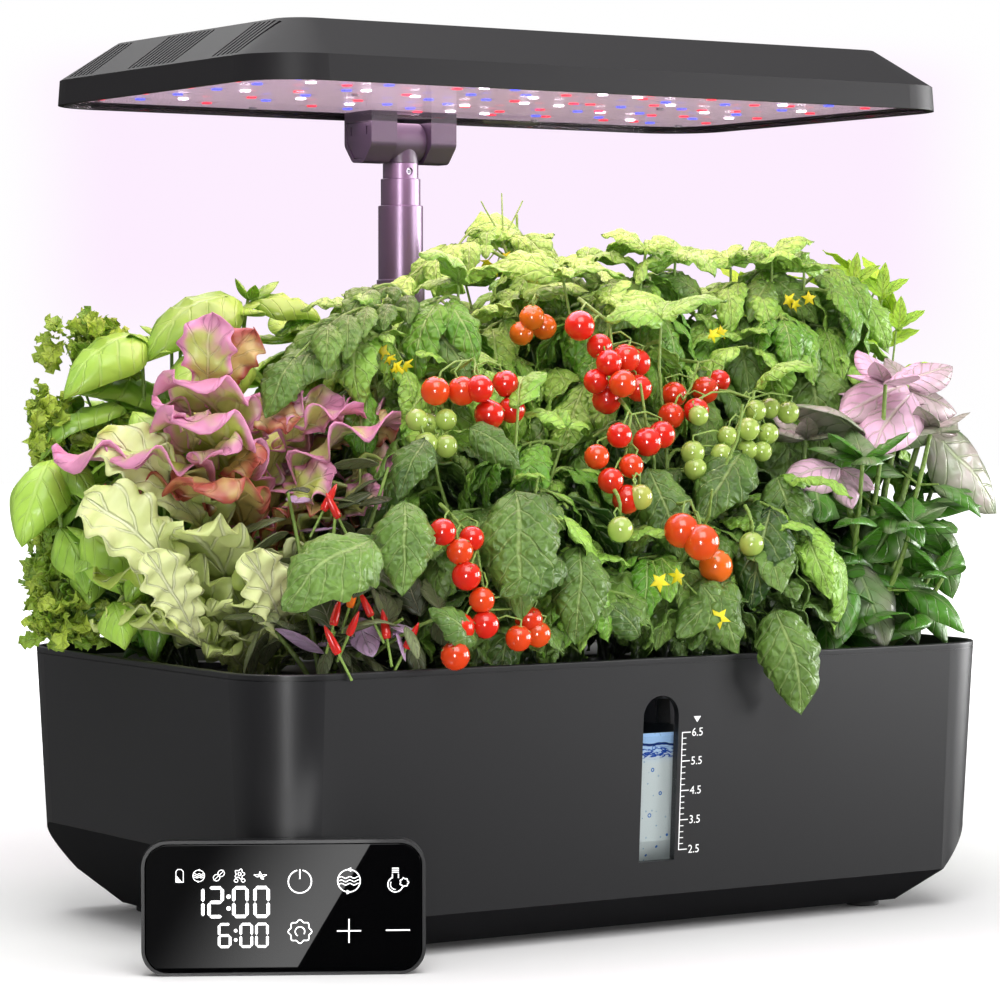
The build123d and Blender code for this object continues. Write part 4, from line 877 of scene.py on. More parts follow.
def tomato(plant, targets, leaves, length, size, first=0.12):
    """Tomato shoots to their targets with compound leaves turning about them."""
    draw = plant.draw
    for target in targets:
        start = plant.foot + level(draw.uniform(0, 360)) * 3
        reach = P(target) - start
        points = [start + reach * (n / 8) + level(draw.uniform(0, 360)) * 2 * (0 < n < 8) for n in range(9)]
        plant.shoot(points, 1.5, 0.6)
        turn = draw.uniform(0, 360)
        for n in range(leaves):
            share = first + (1 - first) * (n + 0.5) / leaves
            spot, _ = along(points, share)
            out = (level(turn + GOLDEN_ANGLE * n) + UP * draw.uniform(0.1, 0.6)).normalized()
            young = share > YOUNG_FROM
            tomato_leaf(plant, spot, out, length * (0.55 if young else draw.uniform(0.6, 1.1)),
                        size * (0.75 if young else 1.0), young)
        for n in range(4):
            out = (level(turn + 90 * n) + UP * draw.uniform(0.3, 1.6)).normalized()
            plant.leaf("tomato_young", points[-1], out, size * draw.uniform(0.35, 0.75),
                       draw.uniform(0.5, 1.0), draw.uniform(-50, 50))


def sprays(plant, rows, kind="tomato_young"):
    """Several sprays, from (root, tip, rise, size, pairs)."""
    for root, tip, *values in rows:
        spray(plant, P(root), P(tip), *values, kind)


def spray(plant, root, tip, rise, size, pairs, kind):
    """A compound leaf against the sky: its rachis arches to its tip, and leaflets hang from it in pairs."""
    draw = plant.draw
    axis = arch(root, tip, 8, UP * rise)
    plant.shoot(axis, 1.0, 0.5)
    end, onward = along(axis, 1.0)
    plant.leaf_to(kind, end, end + onward * size * 0.8 - UP * size * 0.45, draw.uniform(0.5, 1.0))
    across = onward.cross(UP).normalized()
    for n in range(pairs):
        spot, onward = along(axis, 0.3 + 0.62 * n / pairs)
        for side in (-1, 1):
            reach = across * side * 0.5 + onward * 0.4 - UP * draw.uniform(0.45, 0.9)
            whole = size * draw.uniform(0.7, 1.0)
            plant.leaf_to(kind, spot + across * side * 2, spot + reach * whole, draw.uniform(0.3, 1.0))


def trusses(plant):
    """The pod's clusters of fruit, one after another."""
    for _, *values in TRUSSES[plant.pod]:
        fruit_truss(plant, *values)


def fruit_truss(plant, size, ripe, root, spots):
    """A cluster of fruit at its places, each under its calyx, on one stalk from its root."""
    draw = plant.draw
    root, spots = P(root), [P(spot) for spot in spots]
    order = sorted(spots, key=lambda spot: -spot.z)
    half = (len(order) + 1) // 2
    upper, lower = (sum(part, P((0, 0, 0))) / len(part) for part in (order[:half], order[half:] or order))
    back = UP * size - TOWARDS_VIEW * size
    axis = [root, root.lerp(upper, 0.5) + UP * 6, upper + back + UP * size, upper.lerp(lower, 0.5) + back,
            lower + back]
    plant.shoot(axis, 1.0, 0.5)
    knots = [along(axis, n / 12)[0] for n in range(13)]
    for spot in spots:
        radius = size * draw.uniform(0.88, 1.08)
        lean = (UP + level(draw.uniform(0, 360)) * 0.5 - TOWARDS_VIEW * 0.2).normalized()
        plant.put("tomato", spot, lean.orthogonal(), lean, radius, ripe + draw.uniform(-0.16, 0.12))
        plant.put("calyx", spot + lean * radius * 0.97, lean.orthogonal(), lean, radius * 0.85, 0.4)
        neck = spot + lean * (radius + 2.5)
        knot = min(knots, key=lambda one: (one - neck).length + 2 * max(neck.z - one.z, 0))
        plant.shoot([spot + lean * radius * 0.95, neck, neck.lerp(knot, 0.5) + UP * 2, knot], 0.45, 0.45)


def flowers(plant, spots, root, size):
    """A spray of small yellow flowers that nod towards the light."""
    draw = plant.draw
    root = P(root)
    for spot in [P(place) for place in spots]:
        plant.shoot([root, (root + spot) / 2 + UP * 5, spot], 0.5, 0.35)
        down = (TOWARDS_VIEW + level(draw.uniform(0, 360)) * 0.8 - UP * 0.3).normalized()
        plant.put("flower", spot, down.orthogonal(), down, size * draw.uniform(0.8, 1.1), 0.5)
        plant.put("calyx", spot, down.orthogonal(), -down, size * 0.5, 0.5)


def lettuce(plant, count, size, kind, spread, turn=0.0, lift=0.0, lean=(0, 0, 0)):
    """A rosette of upright frilled leaves about the foot, their faces inwards."""
    draw = plant.draw
    for n in range(count):
        out = level(turn + 360 * n / count + draw.uniform(-14, 14))
        way = (UP + out * draw.uniform(*spread) + P(lean)).normalized()
        spot = plant.foot + out * draw.uniform(2, 7) + UP * (2 + lift)
        inner = (-out + UP * 0.2 + level(draw.uniform(0, 360)) * 0.3).normalized()
        for share in (1.0, 0.85, 0.7):
            whole = size * share * draw.uniform(0.85, 1.1)
            if all(has_room(bent(spot, way, inner, s, whole, CURLS[kind]), plant.cell)
                   for s in (0.5, 0.8, 1.0)):
                plant.put(kind, spot, way, inner, whole, draw.uniform(0.1, 0.95))
                break


def parsley(plant, target, spread, count):
    """A bunch of curly parsley: stems that fan out, each with a head of small ruffled leaflets."""
    draw = plant.draw
    for _ in range(count):
        head = P(target) + P((draw.gauss(0, spread), draw.gauss(0, spread), draw.gauss(0, spread * 0.7)))
        start = plant.foot + level(draw.uniform(0, 360)) * 5
        points = arch(start, head, 6, UP * 8)
        if not all(has_room(point, plant.cell) for point in points[3:]):
            continue
        plant.shoot(points, 0.9, 0.5)
        for _ in range(20):
            out = P((draw.gauss(0, 1), draw.gauss(0, 1), draw.gauss(0.35, 0.8))).normalized()
            spot = points[-1] + out * draw.uniform(1, 9)
            plant.leaf("parsley_curl", spot, out, draw.uniform(8, 13), draw.uniform(0, 1),
                       draw.uniform(0, 360))


def pepper(plant, targets):
    """A bushy ornamental pepper: short shoots and small dark and lilac leaves."""
    draw = plant.draw
    for target in targets:
        points = arch(plant.foot, P(target), 6, UP * 5)
        plant.shoot(points, 1.3, 0.7)
        for n in range(11):
            spot, way = along(points, 0.25 + 0.75 * n / 10)
            out = (aside(way, draw.uniform(0, 360)) + UP * draw.uniform(-0.2, 0.6)).normalized()
            kind = "lilac_leaf" if draw.random() < 0.16 else "pepper_leaf"
            plant.leaf(kind, spot + out * 3, out, draw.uniform(18, 30), draw.uniform(0, 1),
                       draw.uniform(-30, 30))


def pepper_fruit(plant, spots, size):
    """Small upright peppers, each on its own short stalk."""
    draw = plant.draw
    for spot in [P(place) for place in spots]:
        out = (UP + level(draw.uniform(0, 360)) * 0.5).normalized()
        plant.shoot([spot - out * 12, spot - out * 5, spot + out], 0.6, 0.6)
        plant.put("pepper", spot, out.orthogonal(), out, size * draw.uniform(0.85, 1.1),
                  draw.choice((0.6, 1.0, 1.0)))
        plant.put("calyx", spot + out * 0.5, out.orthogonal(), -out, size * 0.16, 0.4)


def leaves_to(plant, kind, rows, face=TO_VIEW_UP):
    """Leaves of one kind, from (place, tip, shade)."""
    for spot, tip, shade in rows:
        plant.leaf_to(kind, spot, tip, shade, face)


def red_crown(plant, rows):
    """The lettuce's top leaves, every third one rusty, from (place, tip)."""
    for n, (spot, tip) in enumerate(rows):
        plant.leaf_to("lettuce_rust" if n % 3 == 1 else "lettuce_red", spot, tip, 0.3 + 0.25 * (n % 4))


def stalk(plant, heights, first, last):
    """A thick upright stalk from the foot."""
    plant.shoot([plant.foot + UP * height for height in heights], first, last)


def shoot_tips(plant, root, ways):
    """Thin bare shoots that fan out from one place."""
    for way in ways:
        plant.shoot(grow(P(root), P(way), 20, 0.3), 0.5, 0.3)


def mint_tips(plant, tops):
    """Mint sprigs at the skyline: a stem to each top and leaves beside it, by reach and drop from the top."""
    for x, y, z in tops:
        top = P((x, y, z))
        plant.shoot(((x - 22, y + 14, z - 90), (x - 4, y + 3, z - 45), top), 0.9, 0.5)
        for reach, drop in (((-11, 4, 8), 0), ((11, -4, 7), 0), ((2, 0, 15), 2), ((-15, 6, 5), 24),
                            ((15, -6, 6), 24), ((-13, 4, -8), 40), ((14, -6, -6), 38)):
            spot = top - UP * drop
            plant.leaf_to("mint_leaf", spot, spot + P(reach) * 1.15, 0.4 + 0.02 * drop)


# ---------------------------------------------------------------- the twelve plants

TRUSSES = {  # by pod: how far leaves stay out of its fruit's sight, size, ripeness, the stalk's root, places
    "21": (
        (6, 5.9, 0.95, (-90, -85, 185), ((-107, -114, 175), (-100, -116, 167), (-93, -114, 172),
         (-98, -118, 157), (-92, -120, 147), (-102, -119, 136), (-91, -121, 137), (-76, -123, 131),
         (-64, -119, 132), (-106, -122, 125), (-67, -117, 138))),
        (6, 6.4, 1.0, (-62, -50, 240), ((-83, -70, 232), (-71, -72, 232), (-66, -78, 233), (-60, -76, 222),
         (-48, -70, 235), (-46, -72, 224))),
        (4, 4.8, 0.05, (-80, -60, 225), ((-92, -70, 220), (-79, -72, 220), (-90, -74, 210), (-82, -77, 209),
         (-84, -66, 218))),
    ),
    "31": (
        (6, 6.0, 0.98, (10, -72, 228), ((-3, -90, 213), (13, -88, 210), (22, -86, 213), (-16, -92, 204),
         (-1, -96, 200), (-13, -98, 194), (-6, -100, 186))),
        (6, 6.3, 1.0, (6, -46, 272), ((-3, -60, 260), (6, -62, 251), (4, -72, 244), (17, -66, 246),
         (7, -78, 235), (0, -68, 236), (27, -60, 244), (21, -70, 233), (7, -66, 228))),
        (8, 7.6, 0.8, (20, -94, 185), ((11, -116, 173), (17, -122, 168), (32, -112, 157))),
        (4, 5.0, 0.05, (68, -58, 232), ((46, -80, 221), (80, -76, 223), (91, -72, 224), (98, -76, 222),
         (60, -82, 212), (70, -84, 215), (84, -80, 213), (40, -84, 205), (54, -86, 204), (40, -86, 198),
         (49, -88, 195), (71, -82, 206), (79, -82, 205))),
        (5, 5.4, 0.15, (-15, -104, 190), ((-19, -114, 174),)),
        (5, 5.4, 0.15, (55, -102, 182), ((51, -112, 166),)),
        (5, 5.4, 0.15, (2, -94, 203), ((-2, -104, 187),)),
    ),
    "32": (
        (5, 5.9, 0.98, (58, -38, 246), ((37, -72, 221), (49, -74, 223), (64, -60, 232), (73, -58, 236),
         (47, -60, 230))),
        (4, 5.6, 0.55, (4, -8, 268), ((-7, -20, 257), (5, -20, 260), (-4, -24, 264))),
    ),
}
GAPS = ((-52, -90, 208), (-54, -113, 170))  # gaps between leaves where no fruit hangs
IN_VIEW += [(P(spot), 5) for spot in GAPS]
for rows in TRUSSES.values():
    IN_VIEW += [(P(spot), reach) for reach, *_, spots in rows for spot in spots]


GARDEN = {  # by pod: the steps that grow its plant, each a function and what it is given
    # front left: ornamental pepper
    "11": (
        (pepper, ((-128, -100, 165), (-110, -80, 185), (-150, -70, 160), (-102, -105, 140), (-150, -100, 135),
         (-120, -50, 180), (-165, -60, 140), (-125, -112, 140), (-100, -60, 200), (-140, -45, 190))),
        (pepper_fruit, ((-154, -106, 138), (-144, -102, 145), (-131, -110, 132), (-136, -106, 141),
         (-155, -112, 127), (-141, -76, 183), (-136, -80, 180), (-124, -113, 128), (-148, -108, 134)), 13),
    ),
    # middle left: loose-leaf lettuce, frilled and green below, red at the top
    "12": (
        (lettuce, 16, 84, "lettuce_frill", (0.45, 1.0)),
        (lettuce, 12, 92, "lettuce_frill", (0.15, 0.5), 20),
        (lettuce, 9, 96, "lettuce_frill", (0.1, 0.5), 50, 22),
        (lettuce, 12, 92, "lettuce_red", (0.1, 0.6), 40, 60),
        (lettuce, 9, 80, "lettuce_rust", (0.2, 0.8), 10, 55),
        (lettuce, 7, 70, "lettuce_red", (0.0, 0.5), 0, 82),
        (red_crown, (((-158, -10, 226), (-166, -26, 264)), ((-150, -6, 226), (-144, -24, 258)),
         ((-166, -10, 206), (-182, -34, 220)), ((-158, -12, 196), (-170, -44, 206)),
         ((-150, -12, 194), (-152, -44, 203)), ((-136, -8, 206), (-128, -36, 232)),
         ((-124, -10, 206), (-106, -34, 228)), ((-104, -20, 206), (-82, -40, 216)),
         ((-128, -20, 180), (-120, -50, 198)), ((-112, -30, 176), (-98, -54, 190)),
         ((-146, -14, 216), (-132, -40, 220)), ((-100, -26, 192), (-88, -46, 204)))),
        (stalk, (0, 50, 90), 5.5, 3.5),
        (leaves_to, "lettuce_frill", (((-172, -30, 141), (-216, -6, 188), 0.9),
         ((-160, -10, 170), (-205, 2, 214), 0.9), ((-178, -34, 128), (-206, -44, 168), 0.9),
         ((-150, -50, 130), (-178, -76, 166), 0.9))),
    ),
    # back left: basil, with curly parsley at the tank's end
    "13": (
        (herbs, ((-106, 60, 266), (-152, 62, 248), (-182, 84, 220), (-150, 30, 218), (-184, 60, 190),
         (-115, 96, 250), (-140, 105, 220), (-180, 95, 176), (-168, 48, 205), (-130, 76, 252),
         (-175, 100, 198), (-195, 66, 160), (-190, 20, 165), (-196, 0, 150), (-170, 10, 190)), 24, 58,
         ("basil_arched", "basil_arched", "basil_open"), 1.4, 0.2, 0.32),
        (leaves_to, "basil_arched", (((-103, 60, 271), (-156, 50, 244), 0.72),
         ((-100, 60, 271), (-68, 50, 261), 0.81), ((-150, 60, 255), (-195, 52, 228), 0.9)),
         UP + TOWARDS_VIEW * 0.35),
        (leaves_to, "basil_arched", (((-203, 46, 202), (-224, 34, 166), 0.99),
         ((-202, 46, 204), (-191, 30, 184), 0.72), ((-174, 30, 223), (-162, 15, 197), 0.81),
         ((-200, 25, 172), (-179, 5, 142), 0.9), ((-199, 0, 144), (-203, -20, 124), 0.99),
         ((-170, 20, 198), (-189, 28, 176), 0.72), ((-203, 40, 173), (-196, 22, 146), 0.81),
         ((-181, 0, 161), (-195, -6, 142), 0.9), ((-112, 56, 252), (-128, 30, 222), 0.99)),
         UP + TOWARDS_VIEW * 0.9),
        (Plant.shoot, ((-197, 44, 150), (-202, 46, 190), (-203, 46, 206)), 1.2, 0.8),
        (Plant.shoot, ((-104, 62, 230), (-102, 60, 262), (-100, 60, 273)), 1.2, 0.7),
        (leaves_to, "basil_open", (((-99, 60, 272), (-107, 60, 281), 0.5),
         ((-99, 60, 272), (-84, 60, 281), 0.5), ((-99, 60, 272), (-100, 52, 279), 0.5)), UP),
        (parsley, (-190, 74, 206), 9, 12),
        (parsley, (-190, 74, 150), 9, 12),
        (parsley, (-200, 40, 132), 7, 7),
        (parsley, (-166, 76, 252), 6, 5),
        (parsley, (-186, 92, 180), 8, 6),
    ),
    # second column: tomatoes in front and behind, red lettuce between
    "21": (
        (tomato, ((-78, -60, 208), (-50, -98, 196), (-20, -75, 215), (-75, -95, 165), (-30, -105, 160),
         (-15, -50, 190), (-48, -80, 225), (-70, -75, 140), (-22, -90, 140)), 8, 34, 55),
        (leaves_to, "tomato_hanging", (((-120, -106, 187), (-129, -118, 149), 0.7),
         ((-67, -108, 191), (-72, -119, 138), 0.6), ((-38, -112, 168), (-45, -120, 128), 0.55),
         ((-139, -112, 172), (-184, -117, 145), 0.8), ((-51, -116, 162), (-83, -120, 147), 0.4),
         ((-75, -84, 216), (-55, -92, 199), 0.5), ((-97, -84, 212), (-115, -92, 187), 0.35),
         ((-14, -121, 128), (-32, -118, 145), 0.3), ((-95, -121, 131), (-118, -120, 144), 0.45))),
        (trusses,),
    ),
    "22": (
        (tomato, ((-80, -5, 264), (-40, -20, 278), (-62, 8, 256), (-88, -25, 250), (-20, 0, 262),
         (-55, -30, 240), (-30, 15, 230)), 8, 38, 52, 0.4),
        (lettuce, 10, 100, "lettuce_red", (0.3, 0.8), 0, 0, (-0.2, -0.3, 0)),
        (lettuce, 6, 90, "lettuce_rust", (0.3, 0.8), 30),
        (flowers, ((-87, -34, 249), (-85, -36, 246), (-83, -38, 242), (-81, -38, 240), (-78, -38, 243)),
         (-78, -18, 250), 3.9),
        (sprays, (((-64, -28, 264), (-130, -34, 246), 12, 26, 4),
         ((-60, -18, 266), (-84, -22, 276), 6, 24, 2)), "tomato_hanging"),
        (leaves_to, "tomato_hanging", (((-105, -20, 252), (-135, -36, 232), 0.6),
         ((-75, -20, 258), (-95, -20, 271), 0.7), ((-60, -24, 262), (-50, -44, 236), 0.5),
         ((-88, -22, 256), (-104, -34, 232), 0.5))),
    ),
    "23": (
        (tomato, ((-30, 40, 262), (-62, 55, 258), (-22, 60, 262)), 8, 34, 42, 0.5),
        (herbs, ((-70, 62, 255), (-45, 85, 240), (-75, 95, 235), (-35, 108, 225), (-60, 110, 215)), 24, 46,
         ("basil_arched", "basil_open")),
        (lettuce, 7, 110, "lettuce_red", (0.2, 0.6)),
    ),
    # third column: the tall tomatoes
    "31": (
        (tomato, ((15, -80, 235), (55, -100, 226), (80, -75, 232), (40, -60, 262), (15, -105, 170),
         (65, -108, 170), (85, -95, 190), (30, -112, 190), (45, -90, 150), (20, -75, 150), (75, -85, 145)), 8,
         36, 56),
        (trusses,),
        (flowers, ((-4, -121, 152), (5, -122, 154), (25, -124, 136)), (4, -100, 158), 4.8),
        (leaves_to, "tomato_hanging", (((61, -118, 138), (66, -127, 94), 0.6),
         ((13, -90, 198), (19, -104, 160), 0.45), ((66, -84, 204), (35, -98, 176), 0.4),
         ((21, -116, 150), (36, -122, 121), 0.5), ((84, -88, 193), (83, -100, 158), 0.4),
         ((40, -112, 150), (8, -119, 128), 0.45))),
    ),
    "32": (
        (tomato, ((15, -20, 282), (60, -20, 294), (45, 5, 290), (80, -15, 290), (30, -35, 270), (85, 10, 275),
         (10, 10, 270)), 8, 38, 52, 0.4),
        (trusses,),
        (leaves_to, "tomato_hanging", (((57, -20, 272), (28, -30, 256), 0.6),
         ((98, -10, 273), (72, -14, 284), 0.7), ((49, 0, 277), (32, -6, 288), 0.8),
         ((46, -12, 282), (66, -20, 252), 0.8))),
    ),
    "33": (
        (tomato, ((26, 34, 312), (45, 44, 300), (60, 60, 290), (70, 95, 272), (80, 50, 285), (40, 100, 262),
         (15, 60, 280), (85, 110, 255)), 8, 36, 50, 0.35),
        (flowers, ((6, 28, 290), (9, 26, 287), (13, 24, 292), (15, 24, 286), (18, 22, 293), (32, 20, 270),
         (36, 18, 266)), (22, 36, 292), 3.8),
        (leaves_to, "tomato_young", (((28, 34, 302), (-5, 30, 303), 0.8), ((30, 34, 303), (44, 26, 282), 0.8),
         ((26, 34, 303), (20, 26, 296), 0.8))),
        (sprays, (((18, 22, 288), (-44, 14, 282), 12, 22, 4), ((10, 26, 296), (-12, 24, 297), 8, 24, 1),
         ((14, 28, 297), (28, 24, 296), 6, 22, 1), ((22, 22, 272), (58, 20, 272), 13, 19, 3),
         ((104, 0, 276), (72, 0, 280), 9, 24, 3), ((70, -8, 270), (32, -12, 264), 14, 22, 3))),
        (Plant.shoot, ((22, 24, 262), (18, 23, 285), (11, 24, 300)), 1.3, 0.7),
        (shoot_tips, (12, 24, 301), ((-1, 0, 23), (-10, 0, 11), (10, 0, 13))),
    ),
    # right: basil in front, its upper leaves painted pink with the lamp's light; tomato and mint behind
    "41": (
        (herbs, ((150, -80, 236), (176, -80, 212), (125, -95, 200), (170, -50, 224), (192, -62, 186),
         (145, -105, 172), (184, -78, 156), (120, -60, 210), (192, -56, 148), (160, -108, 148),
         (130, -80, 158), (186, -40, 170)), 24, 46, ("tinted_arched", "tinted_open"), 1.8, 0.15, 0.5, 196),
        (leaves_to, "tinted_open", (((177, -62, 234), (133, -70, 219), 0.85),
         ((177, -60, 234), (205, -60, 243), 0.75), ((171, -72, 231), (136, -86, 203), 1.0),
         ((179, -60, 231), (207, -60, 222), 0.7), ((177, -60, 233), (177, -48, 247), 0.6),
         ((181, -72, 214), (224, -70, 174), 0.35), ((188, -62, 213), (217, -50, 218), 0.5),
         ((123, -82, 197), (90, -82, 190), 1.0), ((123, -82, 197), (133, -94, 187), 1.0),
         ((122, -82, 195), (118, -97, 180), 0.9), ((170, -74, 182), (132, -92, 155), 0.1),
         ((130, -84, 156), (131, -104, 118), 0.2), ((190, -62, 172), (196, -72, 136), 0.0),
         ((175, -64, 161), (183, -74, 148), 0.1), ((116, -92, 150), (103, -104, 124), 0.1),
         ((153, -84, 139), (156, -96, 118), 0.0))),
        (Plant.shoot, ((150, -66, 118), (164.2, -62, 186.4), (177, -62, 234)), 2.2, 1.2),
        (Plant.shoot, ((150, -66, 118), (131.8, -82, 164.2), (123, -82, 197)), 2.2, 1.2),
        (Plant.shoot, ((150, -66, 118), (167.8, -66, 174.4), (183, -66, 214)), 2.2, 1.2),
    ),
    "42": (
        (tomato, ((112, -14, 288), (128, -24, 292), (142, -30, 286), (150, -5, 270), (128, 12, 276),
         (175, 0, 250), (108, -30, 255), (160, -25, 250), (190, -10, 230)), 8, 38, 52, 0.3),
        (lettuce, 8, 110, "lettuce_red", (0.2, 0.7), 0, 0, (0, -0.3, 0)),
        (flowers, ((133, -30, 273), (135, -32, 271), (142, -34, 274), (87, -34, 257), (92, -34, 258)),
         (136, -18, 268), 3.9),
        (sprays, (((150, -10, 274), (120, -14, 280), 10, 24, 3),
         ((150, -12, 276), (184, -20, 274), 12, 24, 3), ((118, -16, 278), (96, -20, 266), 8, 24, 2),
         ((150, -24, 262), (164, -40, 236), 8, 26, 2))),
        (leaves_to, "tomato_hanging", (((110, -20, 265), (108, -34, 226), 0.6),
         ((144, -30, 249), (136, -50, 202), 0.75), ((149, -10, 262), (168, -20, 227), 0.7),
         ((128, -22, 282), (110, -30, 262), 0.8), ((130, -20, 284), (150, -30, 262), 0.8))),
    ),
    "43": (
        (herbs, ((202, 10, 283), (216, 8, 283), (226, 9, 268), (190, 20, 280), (178, 60, 276), (150, 80, 268),
         (200, 80, 256), (120, 70, 260), (160, 45, 262), (216, 30, 262), (185, 100, 240), (140, 110, 240),
         (205, 50, 240), (115, 100, 235)), 15, 29, ("mint_leaf",), 1.0, 0.2, 0.8),
        (mint_tips, ((197, 2, 282), (212, 0, 277), (188, 6, 268), (216, -6, 261))),
    ),
}


for pod, steps in GARDEN.items():
    plant = Plant(pod)
    for step, *values in steps:
        step(plant, *values)
    plant.build()


# ---------------------------------------------------------------- water

WATER_LEVEL = 86.6
TINTED_FROM, TINTED_TO = 72, 84  # heights between which the water turns bluer
RIPPLE_LINE, RIPPLE_DASHES = 82.2, 78.4  # heights of the dark line, and of the broken dashes under it
WALL = 6.5  # from the tank's outside to the water
WATER_CORNER = 24.0
WATER_RINGS = ((6.6, 42.0, 22.0), (40.0, 3.4, 3.4), (WATER_LEVEL, 0.0, 0.0))  # height, and gaps along x and y


def band(tree, value, middle, half, soft):
    """1 near a value's middle and 0 past its half width."""
    off = add(tree, MATH, (value, middle), operation="SUBTRACT")
    size = add(tree, MATH, (off,), operation="ABSOLUTE")
    return add(tree, RANGE, (size, half, half + soft, 1.0, 0.0), interpolation_type=SMOOTH)


def layered(tree, mask, under, colour):
    """A colour laid over what is under it where its mask is 1."""
    return add(tree, MIX, {0: mask, 6: under, 7: rgb(colour)}, data_type="RGBA")


def water_finish():
    """Nutrient water behind the window: pale, with dark blue ripples under its surface and fine bubbles, and
    a painted glow of its own colours.
    """
    made, tree, shader = finish("nutrient_water_painted_glow", "#d3dcd9", Roughness=0.15, IOR=1.33, Emission_Strength=0.16)
    place = add(tree, "ShaderNodeTexCoord").outputs["Object"]
    split = add(tree, "ShaderNodeSeparateXYZ", (place,))
    ripple = add(tree, NOISE, {"Vector": place, "Scale": 1 / (9 * MM), "Detail": 2.0})
    rise = add(tree, MATH, (ripple, 4 * MM, -2 * MM), operation="MULTIPLY_ADD")
    height = add(tree, MATH, (split.outputs["Z"], rise), operation="ADD")
    depth = add(tree, RANGE, (height, TINTED_FROM * MM, TINTED_TO * MM), interpolation_type=SMOOTH)
    colour = add(tree, MIX, {0: depth, 6: rgb("#b9c4c4"), 7: rgb("#8fb2d8")}, data_type="RGBA")
    line = band(tree, height, RIPPLE_LINE * MM, 0.35 * MM, 0.3 * MM)
    flat = add(tree, "ShaderNodeMapping", {"Vector": place, "Scale": (1.0, 0.0, 3.2)})
    streaks = add(tree, NOISE, {"Vector": flat, "Scale": 1 / (5 * MM), "Detail": 3.0})
    torn = band(tree, streaks, 0.5, 0.035, 0.03)
    zone = band(tree, height, RIPPLE_DASHES * MM, 1.7 * MM, 1.6 * MM)
    dashes = add(tree, MATH, (torn, zone), operation="MULTIPLY")
    seen_flat = add(tree, "ShaderNodeMapping", {"Vector": place, "Scale": (1.0, 0.0, 1.0)})
    for size, radius, share, tint in ((5.0, 0.17, 0.55, "#2f62a8"), (2.6, 0.12, 0.6, "#6f93ad")):
        cells = add(tree, "ShaderNodeTexVoronoi", {"Vector": seen_flat, "Scale": 1 / (size * MM)},
                    feature="F1")
        pick = add(tree, "ShaderNodeSeparateColor", (cells.outputs["Color"],))
        some = add(tree, MATH, (pick.outputs["Red"], share), operation="GREATER_THAN")
        ring = band(tree, cells.outputs["Distance"], radius, 0.02, 0.035)
        bubbles = add(tree, MATH, (some, ring), operation="MULTIPLY")
        colour = layered(tree, bubbles, colour, tint)
    colour = layered(tree, dashes, colour, "#1a3f93")
    colour = layered(tree, line, colour, "#0f2560")
    link(tree, colour, shader.inputs["Base Color"])
    # painted glow: the water's colours also glow, brighter than the light on it
    link(tree, colour, shader.inputs["Emission Color"])
    return made


def tank_water():
    """The water up to its level, following the tank's drafted and undercut walls, dark on top."""
    dark = finish("still_water_in_shade", "#050608", Roughness=0.3, IOR=1.33, Specular_IOR_Level=0.1)[0]
    half_x, half_y, corner = RIM_HIGH.x - WALL, RIM_HIGH.y - WALL, WATER_CORNER
    rings = []
    for z, x_in, y_in in WATER_RINGS:
        ring = []
        for cx, cy, start in ((1, 1, 0), (-1, 1, 90), (-1, -1, 180), (1, -1, 270)):
            for n in range(7):
                angle = math.radians(start + 15 * n)
                ring.append(P((cx * (half_x - x_in - corner) + corner * math.cos(angle),
                               cy * (half_y - y_in - corner) + corner * math.sin(angle), z)) * MM)
        rings.append(ring)
    count = len(rings[0])
    points = [point for ring in rings for point in ring]
    faces = [(r * count + n, r * count + (n + 1) % count, (r + 1) * count + (n + 1) % count,
              (r + 1) * count + n) for r in range(len(rings) - 1) for n in range(count)]
    faces.append(tuple(range(count))[::-1])
    faces.append(tuple(range(2 * count, 3 * count)))
    mesh = bpy.data.meshes.new("tank_water")
    mesh.from_pydata(points, [], faces)
    mesh.materials.append(water_finish())
    mesh.materials.append(dark)
    mesh.polygons[len(faces) - 1].material_index = 1
    piece("tank_water", mesh, "root", "clear_acrylic")


tank_water()


# ---------------------------------------------------------------- printed scale and display

WALL_DRAFT = 3.1  # degrees
REMOTE_TURN = 29.2  # degrees
REMOTE_FACE = (-180.98, -112.94)  # the middle of its glass
SEGMENTS = {"0": "abcdef", "1": "bc", "2": "abdeg", "6": "acdefg"}


